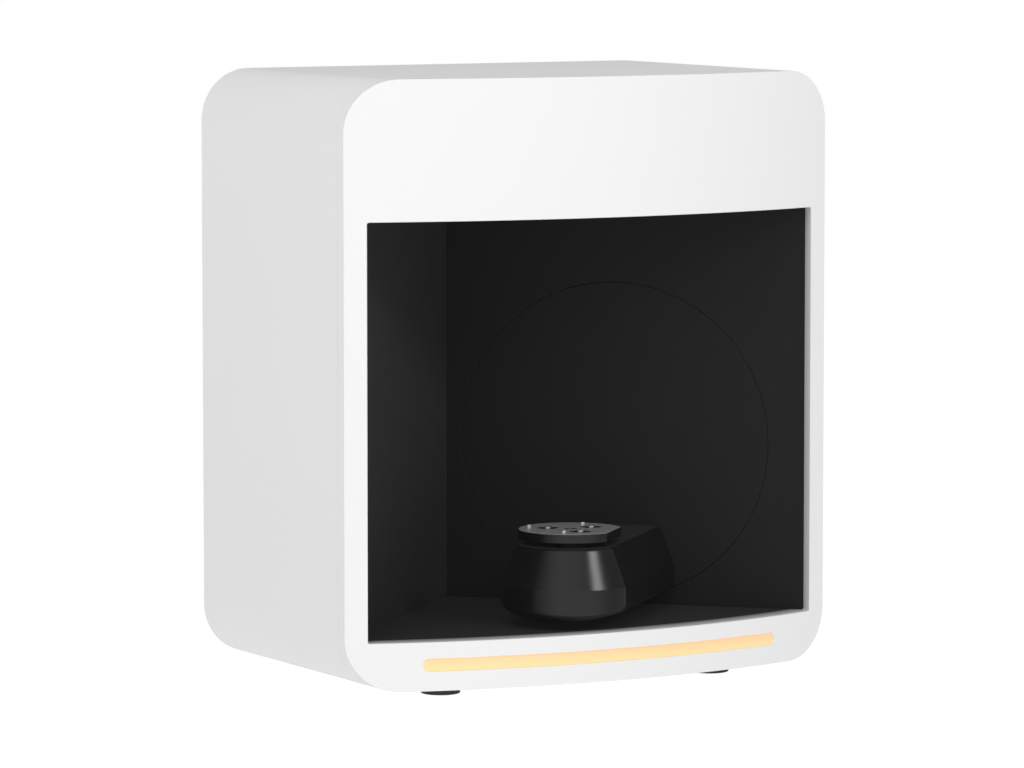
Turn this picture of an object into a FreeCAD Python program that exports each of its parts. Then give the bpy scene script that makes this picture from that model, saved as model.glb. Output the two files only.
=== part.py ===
import FreeCAD, Part
import math
import os
from types import SimpleNamespace

import Sketcher
from FreeCAD import Placement, Rotation, Vector

# Desktop 3D scanner: a white box with a bowed front, open onto a black chamber that is turned
# 45 degrees in plan. A disc in the chamber's wall swings a hollow arm, and the arm's nose turns
# a round plate that holds the object. Projector and cameras look down through the ceiling.
# X is to the right seen from the front, Y to the back, Z up. The origin lies on the table below
# the middle of the object. All sizes are in millimetres.

DRIVING_SIZES = {
    "housing": {
        "body_width": 366.2, "side_depth": 211, "bow_depth": 34.8,
        "corner_radius": 35, "shell_wall": 2.5, "fascia_skin": 3, "seam_setback": 9,
        "seam_gap": 0.3, "lip_length": 3, "lip_overlap": 4, "lip_wall": 2.4, "fit_gap": 0.2,
        "cut_overrun": 5, "flange_width": 11, "flange_wall": 2,
    },
    "feet and chassis": {
        "foot_height": 7.25, "foot_radius": 13.5, "foot_side_inset": 79.7, "foot_front_inset": 17,
        "foot_rear_inset": 24, "foot_recess": 2.4, "foot_recess_radius": 4.6,
        "foot_screw_radius": 1.9, "foot_screw_head_radius": 3.8, "foot_screw_head": 2,
        "foot_screw_grip": 3, "chassis_wall": 2, "chassis_side_gap": 4, "post_radius": 4,
        "post_inset": 12, "post_spread_share": 0.382,
    },
    "opening": {
        "sill_height": 32.3, "chamber_height": 275.1, "header_height": 92.6,
        "post_width": 14.2, "opening_corner": 1.5, "return_depth": 16, "return_wall": 2.5,
    },
    "light strip": {
        "strip_height": 17.2, "strip_end_inset": 49.1, "strip_width": 8.7, "strip_corner": 3.6,
        "guide_recess": 0.6, "guide_depth": 5, "channel_depth": 12, "channel_wall": 2,
        "channel_border": 3, "board_wall": 1.2, "led_width": 3.5, "led_depth": 1.4,
        "led_height": 3, "led_pitch": 11.1, "led_count": 22,
    },
    "chamber": {
        "swing_from_post": 94.9, "swing_inset": 96.7, "swing_rise": 112.3, "chamber_angle": 45,
        "corner_reach": 119.7, "panel_wall": 3, "disc_radius": 108.6, "disc_gap": 0.4,
    },
    "swing drive": {
        "hub_radius": 32, "hub_flange": 5, "shaft_radius": 8, "shaft_bore": 4,
        "shaft_length": 50, "running_gap": 0.05, "bearing_radius": 14, "bearing_width": 8,
        "drive_plate_setback": 21, "drive_plate_wall": 6, "drive_plate_rise": 100,
        "drive_plate_drop": 35, "boss_radius": 22, "boss_length": 20, "standoff_radius": 4.5,
        "standoff_drop": 25, "standoff_rise": 90, "relief_radius": 18,
        "relief_x": 68, "relief_rise": 32, "collar_width": 6, "collar_radius": 14,
        "pulley_width": 10, "pulley_flange": 1, "pulley_rim": 2, "driven_radius": 32,
        "driver_radius": 10.6667, "pulley_setback": 1.5, "pulley_hub_radius": 8,
        "pulley_hub_length": 2, "belt_width": 8, "belt_gap": 0.3, "belt_wall": 1.6,
        "motor_rise": 72, "motor_size": 42.3, "motor_corner": 4, "motor_length": 40,
        "pilot_radius": 11, "pilot_length": 2, "pilot_gap": 0.5, "motor_shaft_radius": 2.5,
        "motor_shaft_grip": 7, "motor_bore": 9,
    },
    "arm": {
        "arm_reach": 109.7, "arm_top_drop": 57.9, "arm_shoulder_drop": 84.6, "arm_top_radius": 36.6,
        "arm_band_radius": 46.9, "arm_side_inset": 3.7, "arm_belly_drop": 106.6,
        "arm_belly_radius": 180, "arm_wall": 2.5, "arm_edge": 3, "arm_side_round": 8,
        "arm_lower_round": 6.5, "spine_drop": 76, "spine_wall": 3, "spine_half_width": 28,
        "spine_nose": 22, "spine_gap": 1,
    },
    "turntable": {
        "plate_bottom_drop": 54.8, "plate_top_drop": 48.5, "plate_radius": 35, "plate_flat": 30,
        "plate_edge": 0.4, "turn_hub_radius": 11, "turn_hub_gap": 0.6, "turn_floor_gap": 0.5,
        "turn_bearing_wall": 6, "turn_bearing_height": 7, "turn_motor_size": 35,
        "turn_motor_corner": 3, "turn_motor_height": 26, "pin_radius": 1.6, "pin_rise": 1.6,
        "pin_seat": 3, "pin_edge": 0.4, "side_pin_x": 29, "rear_pin_x": 1.8, "rear_pin_y": 23.4,
        "magnet_radius": 7, "magnet_gap": 0.2, "magnet_depth": 2.4, "magnet_sink": 0.4,
        "magnet_bore": 1.6, "left_magnet_x": 16, "right_magnet_x": 10.4,
        "right_magnet_y": 13.5, "stud_radius": 2.2, "stud_rise": 0.9, "stud_shank": 1.4,
        "stud_grip": 2, "stud_edge": 0.6, "counterbore_radius": 4.4, "counterbore_depth": 2,
        "centre_head_radius": 3.3, "centre_head": 1.6, "centre_shank": 2, "centre_grip": 8,
    },
    "optics": {
        "window_width": 190, "window_depth": 40, "window_ledge": 5, "glass_wall": 2,
        "frame_rise": 20, "frame_wall": 3, "frame_side_margin": 13, "frame_end_margin": 6,
        "frame_post_inset": 8, "projector_width": 62, "projector_depth": 48,
        "projector_height": 46, "projector_corner": 5, "fin_count": 7, "fin_wall": 1.6,
        "fin_depth": 3, "lens_radius": 14, "lens_length": 20, "lens_ring": 1.5,
        "lens_ring_length": 6, "lens_dish": 9, "lens_dish_depth": 3, "lens_hole_gap": 1,
        "camera_spread": 74, "camera_tilt": 19, "camera_size": 29, "camera_length": 32,
        "camera_rise": 6, "camera_corner": 2, "camera_lens_radius": 8.5,
        "camera_lens_length": 14, "camera_lens_ring": 1.2, "camera_slot_half": 17,
        "bracket_wall": 2.5, "bracket_half_width": 22, "bracket_height": 46,
        "bracket_foot": 12,
    },
    "electronics": {
        "board_gap": 10, "board_thickness": 1.6, "board_width": 110, "board_height": 150,
        "board_drop": 60, "board_post_radius": 3, "board_post_inset": 6,
        "chip_size": 14, "chip_height": 2, "chip_pitch": 34, "chip_rows": 3,
        "sink_size": 24, "sink_height": 9, "plug_width": 40, "plug_depth": 7,
        "plug_height": 8,
    },
    "back": {
        "panel_recess": 5, "panel_sheet": 2, "panel_gap": 0.25, "rear_screw_radius": 1.5,
        "rear_screw_head_radius": 2.9, "rear_screw_head": 1.6, "fan_inset": 93.1, "fan_drop": 70,
        "fan_size": 60, "fan_corner": 4, "fan_depth": 15, "fan_bore": 28.5,
        "fan_hub_radius": 12.5, "fan_hub_wall": 2.5, "fan_strut": 3, "fan_hub_gap": 0.6,
        "fan_tip_gap": 1.2, "fan_blades": 7, "fan_blade_wall": 1.2, "fan_blade_sweep": 7,
        "fan_blade_gap": 1.5, "fan_pin_radius": 1.5, "grille_hole": 2.4, "grille_pitch": 6.6,
        "grille_rings": 4, "vent_count": 9, "vent_pitch": 8, "vent_width": 3,
        "vent_length": 60, "vent_inset": 123.1, "vent_rise": 150, "socket_rise": 52,
        "jack_inset": 65.1, "jack_radius": 5.5, "jack_rim": 1.5, "jack_depth": 12,
        "jack_bore": 3.1, "jack_bore_depth": 9, "jack_pin": 1, "usb_inset": 91.1, "usb_width": 12,
        "usb_height": 10.8, "usb_depth": 16, "usb_mouth_width": 8.6, "usb_mouth_height": 7.8,
        "usb_mouth_depth": 10, "switch_inset": 39.1, "switch_width": 13, "switch_height": 19.2,
        "switch_depth": 12, "switch_bezel": 1.2, "switch_border": 1.6, "switch_wall": 1.4,
        "switch_floor": 3, "rocker_gap": 0.3, "rocker_swing_gap": 0.9, "rocker_crown": 2.6,
        "rocker_dip": 1.5, "rocker_root": 2, "rocker_pin_radius": 1.1, "rocker_tilt": 7,
    },
}


class Size:
    """A size: its number, and the expression in named sizes that gives it."""

    def __init__(self, text, number):
        self.text = text
        self.number = number

    def __add__(self, other):
        other = as_size(other)
        return Size(f"({self.text} + {other.text})", self.number + other.number)

    def __sub__(self, other):
        other = as_size(other)
        return Size(f"({self.text} - {other.text})", self.number - other.number)

    def __mul__(self, other):
        other = as_size(other)
        return Size(f"({self.text} * {other.text})", self.number * other.number)

    def __truediv__(self, other):
        other = as_size(other)
        return Size(f"({self.text} / {other.text})", self.number / other.number)

    def __rsub__(self, other):
        return as_size(other) - self

    def __rmul__(self, other):
        return as_size(other) * self

    def __neg__(self):
        return Size(f"(0 - {self.text})", -self.number)


def as_size(value):
    return value if isinstance(value, Size) else Size(repr(value), value)


def square_root(size):
    return Size(f"sqrt({size.text})", math.sqrt(size.number))


def sine(angle):
    return Size(f"sin({angle.text})", math.sin(math.radians(angle.number)))


def cosine(angle):
    return Size(f"cos({angle.text})", math.cos(math.radians(angle.number)))


def arc_angle(length, radius):
    """The angle in degrees that an arc of that length spans."""
    number = math.degrees(length.number / radius.number)
    return Size(f"({length.text} / {radius.text} * 180 / pi)", number)


doc = FreeCAD.newDocument("desktop_scanner")
sheet = doc.addObject("Spreadsheet::Sheet", "Sizes")
sizes = {}
for group in DRIVING_SIZES.values():
    for name, number in group.items():
        cell = f"A{len(sizes) + 1}"
        sheet.set(cell, str(number))
        sheet.setAlias(cell, name)
        sizes[name] = Size(f"Sizes.{name}", number)
doc.recompute()
s = SimpleNamespace(**sizes)
ZERO = Size("0", 0)
FULL_TURN = Size("360", 360)

nodes = []


def node(item):
    """Keep an object as one node, written to a file under its label."""
    nodes.append(item)
    return item


def drive(item, **properties):
    for name, size in properties.items():
        item.setExpression(name, as_size(size).text)


def place(item, x=ZERO, y=ZERO, z=ZERO, turn=None, axis=Vector(0, 0, 1)):
    if turn is not None:
        item.Placement = Placement(Vector(), Rotation(axis, turn.number))
        item.setExpression("Placement.Rotation.Angle", turn.text)
    for letter, size in zip("xyz", (x, y, z)):
        item.setExpression(f"Placement.Base.{letter}", as_size(size).text)
    return item


# Places that several pieces share.
FACE_Y = -(s.side_depth - s.bow_depth) / 2
FRONT_Y = FACE_Y - s.bow_depth
REAR_Y = FACE_Y + s.side_depth
SEAM_Y = FACE_Y + s.seam_setback
HALF_WIDTH = s.body_width / 2
UNDERSIDE = s.foot_height
BODY_HEIGHT = s.sill_height + s.chamber_height + s.header_height
TOP = UNDERSIDE + BODY_HEIGHT
BOW_RADIUS = (HALF_WIDTH * HALF_WIDTH + s.bow_depth * s.bow_depth) / (s.bow_depth * 2)
BOW_Y = FRONT_Y + BOW_RADIUS
SILL = UNDERSIDE + s.sill_height
LINTEL = SILL + s.chamber_height
HALF_OPENING = HALF_WIDTH - s.post_width
SWING_X = HALF_OPENING - s.swing_from_post
SWING_Y = FACE_Y + s.swing_inset
SWING_Z = SILL + s.swing_rise
TURN_X = SWING_X - s.arm_reach * sine(s.chamber_angle)
TURN_Y = SWING_Y - s.arm_reach * cosine(s.chamber_angle)
CHASSIS_TOP = UNDERSIDE + s.shell_wall + s.chassis_wall
FLOOR_DROP = -s.swing_rise
CEILING_RISE = s.chamber_height - s.swing_rise
PANEL_BACK = REAR_Y - s.panel_recess
PANEL_FRONT = PANEL_BACK - s.panel_sheet
FAN_X = HALF_WIDTH - s.fan_inset
FAN_Z = TOP - s.fan_drop
SOCKET_Z = UNDERSIDE + s.socket_rise
JACK_X = s.jack_inset - HALF_WIDTH
USB_X = s.usb_inset - HALF_WIDTH
SWITCH_X = s.switch_inset - HALF_WIDTH


def place_in_chamber(item, x=ZERO, y=ZERO, z=ZERO):
    """Place an object whose own frame has the swing axis along Y and the wall's face at y = 0."""
    along = cosine(s.chamber_angle)
    across = sine(s.chamber_angle)
    return place(
        item,
        SWING_X + x * along + y * across,
        SWING_Y - x * across + y * along,
        SWING_Z + z,
        s.chamber_angle,
        Vector(0, 0, -1),
    )


class Piece:
    """A body made of sketches on its own origin planes; every pad and cut runs along +axis."""

    def __init__(self, label):
        self.body = doc.addObject("PartDesign::Body", label)
        self.body.Label = label
        self.body.AllowCompound = True

    def origin(self, role):
        return next(item for item in self.body.Origin.OriginFeatures if item.Role == role)

    def sketch(self, plane, at=ZERO):
        drawing = self.body.newObject("Sketcher::SketchObject", "Outline")
        drawing.AttachmentSupport = (self.origin(f"{plane}_Plane"), [""])
        drawing.MapMode = "FlatFace"
        offset = -at if plane == "XZ" else at
        drawing.setExpression("AttachmentOffset.Base.z", offset.text)
        return drawing

    def feature(self, kind, drawing, flipped, **properties):
        item = self.body.newObject(f"PartDesign::{kind}", kind)
        item.Profile = drawing
        item.Reversed = flipped
        drive(item, **properties)
        drawing.Visibility = False
        return item

    def pad(self, plane, at, depth, *shapes):
        drawing = self.sketch(plane, at)
        for shape in shapes:
            shape(drawing)
        return self.feature("Pad", drawing, plane == "XZ", Length=depth)

    def cut(self, plane, at, depth, *shapes):
        drawing = self.sketch(plane, at)
        for shape in shapes:
            shape(drawing)
        return self.feature("Pocket", drawing, plane != "XZ", Length=depth)

    def turn(self, kind, *shapes):
        """Revolve a profile in the XZ plane about the body's Z axis."""
        drawing = self.sketch("XZ")
        for shape in shapes:
            shape(drawing)
        item = self.feature(kind, drawing, False)
        item.ReferenceAxis = (drawing, ["V_Axis"])
        item.Angle = 360
        return item

    def ring(self, originals, axis, count, angle):
        pattern = self.body.newObject("PartDesign::PolarPattern", "Ring")
        pattern.Originals = originals
        pattern.Axis = (self.origin(f"{axis}_Axis"), [""])
        drive(pattern, Angle=angle, Occurrences=count)
        self.body.Tip = pattern
        return pattern

    def soften(self, kind, size, chosen):
        """Round or bevel the edges that the test picks."""
        doc.recompute()
        base = self.body.Tip
        names = [f"Edge{i + 1}" for i, edge in enumerate(base.Shape.Edges) if chosen(edge)]
        item = self.body.newObject(f"PartDesign::{kind}", kind)
        item.Base = (base, names)
        drive(item, **{"Radius" if kind == "Fillet" else "Size": size})
        return item


def fix(drawing, kind, first, size):
    """Tie a point's distance from the sketch's origin to a size."""
    geometry, end = first
    constraint = Sketcher.Constraint(kind, -1, 1, geometry, end, size.number)
    index = drawing.addConstraint(constraint)
    drawing.setExpression(f"Constraints[{index}]", size.text)


def fix_radius(drawing, geometry, size):
    index = drawing.addConstraint(Sketcher.Constraint("Radius", geometry, size.number))
    drawing.setExpression(f"Constraints[{index}]", size.text)


def circle(x, y, radius):
    def draw(drawing):
        centre = Vector(x.number, y.number, 0)
        edge = drawing.addGeometry(Part.Circle(centre, Vector(0, 0, 1), radius.number), False)
        fix(drawing, "DistanceX", (edge, 3), x)
        fix(drawing, "DistanceY", (edge, 3), y)
        fix_radius(drawing, edge, radius)

    return draw


def polygon(*points):
    def draw(drawing):
        corners = [Vector(x.number, y.number, 0) for x, y in points]
        count = len(corners)
        edges = []
        for i in range(count):
            line = Part.LineSegment(corners[i], corners[(i + 1) % count])
            edges.append(drawing.addGeometry(line, False))
        for i in range(count):
            joint = Sketcher.Constraint("Coincident", edges[i - 1], 2, edges[i], 1)
            drawing.addConstraint(joint)
        for edge, (x, y) in zip(edges, points):
            fix(drawing, "DistanceX", (edge, 1), x)
            fix(drawing, "DistanceY", (edge, 1), y)

    return draw


def rectangle(x0, x1, y0, y1):
    return polygon((x0, y0), (x1, y0), (x1, y1), (x0, y1))


def rounded(x0, x1, y0, y1, radius):
    """A rectangle with four round corners."""

    def draw(drawing):
        left, right, low, high = x0.number, x1.number, y0.number, y1.number
        bend = radius.number
        corners = [
            (left + bend, low), (right - bend, low), (right, low + bend), (right, high - bend),
            (right - bend, high), (left + bend, high), (left, high - bend), (left, low + bend),
        ]
        centres = [
            (right - bend, low + bend), (right - bend, high - bend),
            (left + bend, high - bend), (left + bend, low + bend),
        ]
        edges = []
        for i, centre in enumerate(centres):
            start = Vector(*corners[2 * i], 0)
            line = Part.LineSegment(start, Vector(*corners[2 * i + 1], 0))
            edges.append(drawing.addGeometry(line, False))
            arc = Part.ArcOfCircle(
                Part.Circle(Vector(*centre, 0), Vector(0, 0, 1), bend),
                math.radians(90 * i - 90),
                math.radians(90 * i),
            )
            edges.append(drawing.addGeometry(arc, False))
        for i, edge in enumerate(edges):
            following = edges[(i + 1) % len(edges)]
            drawing.addConstraint(Sketcher.Constraint("Tangent", edge, 2, following, 1))
        for i in (1, 3, 5):
            drawing.addConstraint(Sketcher.Constraint("Equal", edges[i], edges[i + 2]))
        for i, kind in ((0, "Horizontal"), (2, "Vertical"), (4, "Horizontal"), (6, "Vertical")):
            drawing.addConstraint(Sketcher.Constraint(kind, edges[i]))
        fix_radius(drawing, edges[1], radius)
        fix(drawing, "DistanceX", (edges[6], 1), x0)
        fix(drawing, "DistanceX", (edges[2], 1), x1)
        fix(drawing, "DistanceY", (edges[0], 1), y0)
        fix(drawing, "DistanceY", (edges[4], 1), y1)

    return draw


def stadium(radius, length):
    """A half-round nose about the origin, with two straight sides that run back along Y."""

    def draw(drawing):
        wide, back = radius.number, length.number
        nose = Part.ArcOfCircle(
            Part.Circle(Vector(), Vector(0, 0, 1), wide), math.pi, 2 * math.pi
        )
        arc = drawing.addGeometry(nose, False)
        points = [Vector(wide, 0, 0), Vector(wide, back, 0), Vector(-wide, back, 0), Vector(-wide, 0, 0)]
        lines = []
        for start, end in zip(points, points[1:]):
            lines.append(drawing.addGeometry(Part.LineSegment(start, end), False))
        right, end, left = lines
        drawing.addConstraint(Sketcher.Constraint("Coincident", arc, 3, -1, 1))
        drawing.addConstraint(Sketcher.Constraint("Tangent", arc, 2, right, 1))
        drawing.addConstraint(Sketcher.Constraint("Coincident", right, 2, end, 1))
        drawing.addConstraint(Sketcher.Constraint("Coincident", end, 2, left, 1))
        drawing.addConstraint(Sketcher.Constraint("Tangent", left, 2, arc, 1))
        drawing.addConstraint(Sketcher.Constraint("Vertical", right))
        drawing.addConstraint(Sketcher.Constraint("Horizontal", end))
        fix_radius(drawing, arc, radius)
        fix(drawing, "DistanceY", (right, 2), length)

    return draw


def trimmed_nose(radius, half, length):
    """A round nose about the origin, trimmed by two straight sides that run back along Y."""

    def draw(drawing):
        drop = square_root(radius * radius - half * half)
        wide, low, back = half.number, -drop.number, length.number
        lean = math.atan2(-drop.number, half.number)
        nose = Part.ArcOfCircle(
            Part.Circle(Vector(), Vector(0, 0, 1), radius.number), -math.pi - lean, lean
        )
        arc = drawing.addGeometry(nose, False)
        points = [
            Vector(wide, low, 0), Vector(wide, back, 0),
            Vector(-wide, back, 0), Vector(-wide, low, 0),
        ]
        lines = []
        for start, end in zip(points, points[1:]):
            lines.append(drawing.addGeometry(Part.LineSegment(start, end), False))
        right, end, left = lines
        drawing.addConstraint(Sketcher.Constraint("Coincident", arc, 3, -1, 1))
        for edge, tail, following, head in (
            (arc, 2, right, 1), (right, 2, end, 1), (end, 2, left, 1), (left, 2, arc, 1)
        ):
            drawing.addConstraint(Sketcher.Constraint("Coincident", edge, tail, following, head))
        drawing.addConstraint(Sketcher.Constraint("Vertical", right))
        drawing.addConstraint(Sketcher.Constraint("Vertical", left))
        drawing.addConstraint(Sketcher.Constraint("Horizontal", end))
        fix_radius(drawing, arc, radius)
        fix(drawing, "DistanceX", (right, 1), half)
        fix(drawing, "DistanceX", (left, 2), -half)
        fix(drawing, "DistanceY", (right, 2), length)

    return draw


def notched_circle(radius, flat):
    """A circle about the origin with one flat side at x = flat."""

    def draw(drawing):
        half = square_root(radius * radius - flat * flat)
        bend = math.atan2(half.number, flat.number)
        arc = drawing.addGeometry(
            Part.ArcOfCircle(
                Part.Circle(Vector(), Vector(0, 0, 1), radius.number), bend, 2 * math.pi - bend
            ),
            False,
        )
        low = Vector(flat.number, -half.number, 0)
        high = Vector(flat.number, half.number, 0)
        line = drawing.addGeometry(Part.LineSegment(low, high), False)
        drawing.addConstraint(Sketcher.Constraint("Coincident", arc, 3, -1, 1))
        drawing.addConstraint(Sketcher.Constraint("Coincident", arc, 2, line, 1))
        drawing.addConstraint(Sketcher.Constraint("Coincident", line, 2, arc, 1))
        drawing.addConstraint(Sketcher.Constraint("Vertical", line))
        fix_radius(drawing, arc, radius)
        fix(drawing, "DistanceX", (line, 1), flat)

    return draw


def belt_line(low_radius, high_radius, rise):
    """The closed line of a belt round a wheel at the origin and one straight above it."""

    def draw(drawing):
        lean = math.asin((low_radius.number - high_radius.number) / rise.number)
        up = Vector(0, rise.number, 0)
        side = Vector(math.cos(lean), math.sin(lean), 0)
        mirror = Vector(-side.x, side.y, 0)
        low_arc = Part.ArcOfCircle(
            Part.Circle(Vector(), Vector(0, 0, 1), low_radius.number), math.pi - lean, 2 * math.pi + lean
        )
        high_arc = Part.ArcOfCircle(
            Part.Circle(up, Vector(0, 0, 1), high_radius.number), lean, math.pi - lean
        )
        low = drawing.addGeometry(low_arc, False)
        right_run = Part.LineSegment(side * low_radius.number, up + side * high_radius.number)
        right = drawing.addGeometry(right_run, False)
        high = drawing.addGeometry(high_arc, False)
        left_run = Part.LineSegment(up + mirror * high_radius.number, mirror * low_radius.number)
        left = drawing.addGeometry(left_run, False)
        for edge, following in ((low, right), (right, high), (high, left), (left, low)):
            drawing.addConstraint(Sketcher.Constraint("Tangent", edge, 2, following, 1))
        drawing.addConstraint(Sketcher.Constraint("Coincident", low, 3, -1, 1))
        drawing.addConstraint(Sketcher.Constraint("PointOnObject", high, 3, -2))
        fix(drawing, "DistanceY", (high, 3), rise)
        fix_radius(drawing, low, low_radius)
        fix_radius(drawing, high, high_radius)

    return draw


def join(kind, label, base, tool):
    """Cut, Common or Fuse of two objects."""
    item = doc.addObject(f"Part::{kind}", label)
    item.Label = label
    item.Base = base
    item.Tool = tool
    return item


def block(label, x0, x1, y0, y1, z0, z1):
    item = doc.addObject("Part::Box", label)
    item.Label = label
    drive(item, Length=x1 - x0, Width=y1 - y0, Height=z1 - z0)
    return place(item, x0, y0, z0)


def bow(label, inset, shift=ZERO):
    """The upright round column whose front is the bowed front, set inward and moved back."""
    item = doc.addObject("Part::Cylinder", label)
    item.Label = label
    drive(item, Radius=BOW_RADIUS - inset, Height=TOP + s.cut_overrun * 2)
    return place(item, ZERO, BOW_Y + shift, -s.cut_overrun)


def outline(inset):
    """The housing's rounded outline seen from the front, set inward."""
    return rounded(
        inset - HALF_WIDTH, HALF_WIDTH - inset, UNDERSIDE + inset, TOP - inset, s.corner_radius - inset
    )


def tube_prism(label, inset, y0, y1):
    """The housing's rounded outline, set inward, between two places along Y."""
    piece = Piece(label)
    piece.pad("XZ", y0, y1 - y0, outline(inset))
    return piece.body


def opening_prism(label, outset, y0, y1, corner):
    piece = Piece(label)
    piece.pad(
        "XZ", y0, y1 - y0,
        rounded(-HALF_OPENING - outset, HALF_OPENING + outset, SILL - outset, LINTEL + outset, corner),
    )
    return piece.body


def all_around(size_x, size_y):
    """The four corners of a rectangle about the origin, in half sizes."""
    return [(size_x, size_y), (-size_x, size_y), (-size_x, -size_y), (size_x, -size_y)]


def foot_places():
    front = FACE_Y + s.foot_front_inset
    rear = REAR_Y - s.foot_rear_inset
    side = HALF_WIDTH - s.foot_side_inset
    return [(-side, front), (side, front), (-side, rear), (side, rear)]


def rear_screw_places():
    border = (s.shell_wall + s.flange_width) / 2
    side = HALF_WIDTH - border
    places = []
    for step in (1, 2, 3):
        height = UNDERSIDE + BODY_HEIGHT * step / 4
        places += [(-side, height), (side, height)]
    for x in (-HALF_WIDTH / 2, HALF_WIDTH / 2):
        places += [(x, UNDERSIDE + border), (x, TOP - border)]
    return places


def circles(places, radius):
    return [circle(x, y, radius) for x, y in places]


# Housing


def make_outer_shell():
    piece = Piece("outer_shell")
    start = SEAM_Y + s.seam_gap
    piece.pad("XZ", start, REAR_Y - start, outline(ZERO), outline(s.shell_wall))
    flange_y = PANEL_FRONT - s.flange_wall
    piece.pad("XZ", flange_y, s.flange_wall, outline(s.shell_wall / 2), outline(s.flange_width))
    screw_holes = circles(rear_screw_places(), s.rear_screw_radius + s.fit_gap)
    piece.cut("XZ", flange_y - s.cut_overrun, s.flange_wall + s.cut_overrun * 2, *screw_holes)
    foot_holes = circles(foot_places(), s.foot_screw_radius + s.fit_gap)
    piece.cut("XY", UNDERSIDE - s.cut_overrun, s.shell_wall + s.cut_overrun, *foot_holes)
    node(piece.body)


def make_front_fascia():
    start = FRONT_Y - s.cut_overrun
    plug = join(
        "Common", "fascia_plug",
        tube_prism("fascia_outline", ZERO, start, SEAM_Y),
        bow("fascia_bow", ZERO),
    )
    hollow = join(
        "Common", "fascia_hollow",
        tube_prism("fascia_inside", s.fascia_skin, start, SEAM_Y + s.cut_overrun),
        bow("fascia_inner_bow", s.fascia_skin),
    )
    skin = join("Cut", "fascia_skin_solid", plug, hollow)
    mouth = opening_prism("fascia_mouth", ZERO, start, SEAM_Y, s.opening_corner)
    skin = join("Cut", "fascia_opened", skin, mouth)

    slot = Piece("strip_slot")
    slot.pad("XZ", start, s.bow_depth + s.cut_overrun, strip_outline(ZERO))
    skin = join("Cut", "fascia_slotted", skin, slot.body)

    deep = SEAM_Y + s.return_depth
    frame = join(
        "Cut", "return_frame",
        opening_prism("return_outside", s.return_wall, start, deep, s.opening_corner + s.return_wall),
        opening_prism("return_inside", ZERO, start - s.cut_overrun, deep + s.cut_overrun, s.opening_corner),
    )
    frame = join("Cut", "return_trimmed", frame, bow("return_back_bow", ZERO, s.return_depth))
    cheek = block(
        "left_cheek", -HALF_OPENING - s.return_wall, -HALF_OPENING, start, deep + s.return_depth, SILL, LINTEL
    )
    frame = join("Fuse", "return_with_cheek", frame, cheek)
    frame = join("Common", "return_bowed", frame, bow("return_front_bow", ZERO))
    reach = s.body_width
    behind_left = chamber_block(
        "behind_left_wall", -s.corner_reach - reach, -s.corner_reach, -reach, reach, FLOOR_DROP, CEILING_RISE
    )
    behind_swing = chamber_block(
        "behind_swing_wall", -reach, reach, ZERO, reach, FLOOR_DROP, CEILING_RISE
    )
    frame = join("Cut", "return_left_cut", frame, behind_left)
    frame = join("Cut", "return_right_cut", frame, behind_swing)
    skin = join("Fuse", "fascia_with_return", skin, frame)

    lip = Piece("fascia_lip")
    lip_inset = s.shell_wall + s.fit_gap
    lip.pad(
        "XZ", SEAM_Y - s.lip_overlap, s.lip_overlap + s.lip_length,
        outline(lip_inset), outline(lip_inset + s.lip_wall),
    )
    node(join("Fuse", "front_fascia", skin, lip.body))


def strip_outline(inset):
    centre = UNDERSIDE + s.strip_height
    long = HALF_WIDTH - s.strip_end_inset - inset
    tall = s.strip_width / 2 - inset
    return rounded(-long, long, centre - tall, centre + tall, s.strip_corner - inset)


def bowed_slice(label, shape, front_inset, back_inset):
    """A prism along Y kept only between two insets from the bowed front."""
    prism = Piece(f"{label}_prism")
    prism.pad("XZ", FRONT_Y - s.cut_overrun, s.bow_depth + s.channel_depth + s.cut_overrun * 2, shape)
    front = join("Common", f"{label}_front", prism.body, bow(f"{label}_front_bow", front_inset))
    return join("Cut", label, front, bow(f"{label}_back_bow", back_inset))


def strip_box(border):
    centre = UNDERSIDE + s.strip_height
    long = HALF_WIDTH - s.strip_end_inset + border
    tall = s.strip_width / 2 + border
    return rectangle(-long, long, centre - tall, centre + tall)


def make_light_strip():
    node(bowed_slice("light_guide", strip_outline(s.fit_gap), s.guide_recess, s.guide_recess + s.guide_depth))
    front = s.fascia_skin + s.fit_gap
    back = s.fascia_skin + s.channel_depth
    board_back = back - s.channel_wall
    board_front = board_back - s.board_wall
    outside = bowed_slice("channel_outside", strip_box(s.channel_border), front, back)
    inside = bowed_slice("channel_inside", strip_box(s.fit_gap), ZERO, board_back)
    node(join("Cut", "light_channel", outside, inside))
    node(bowed_slice("led_board", strip_box(-s.fit_gap), board_front, board_back))

    leds = Piece("strip_leds")
    radius = BOW_RADIUS - board_front
    half = s.led_width / 2
    tall = s.led_height / 2
    first = leds.pad("XY", -tall, s.led_height, rectangle(-half, half, -radius - s.led_depth, -radius))
    spread = arc_angle(s.led_pitch * (s.led_count - 1), radius)
    leds.ring([first], "Z", s.led_count, spread)
    place(leds.body, ZERO, BOW_Y, UNDERSIDE + s.strip_height, spread / 2, Vector(0, 0, -1))
    node(leds.body)


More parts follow.
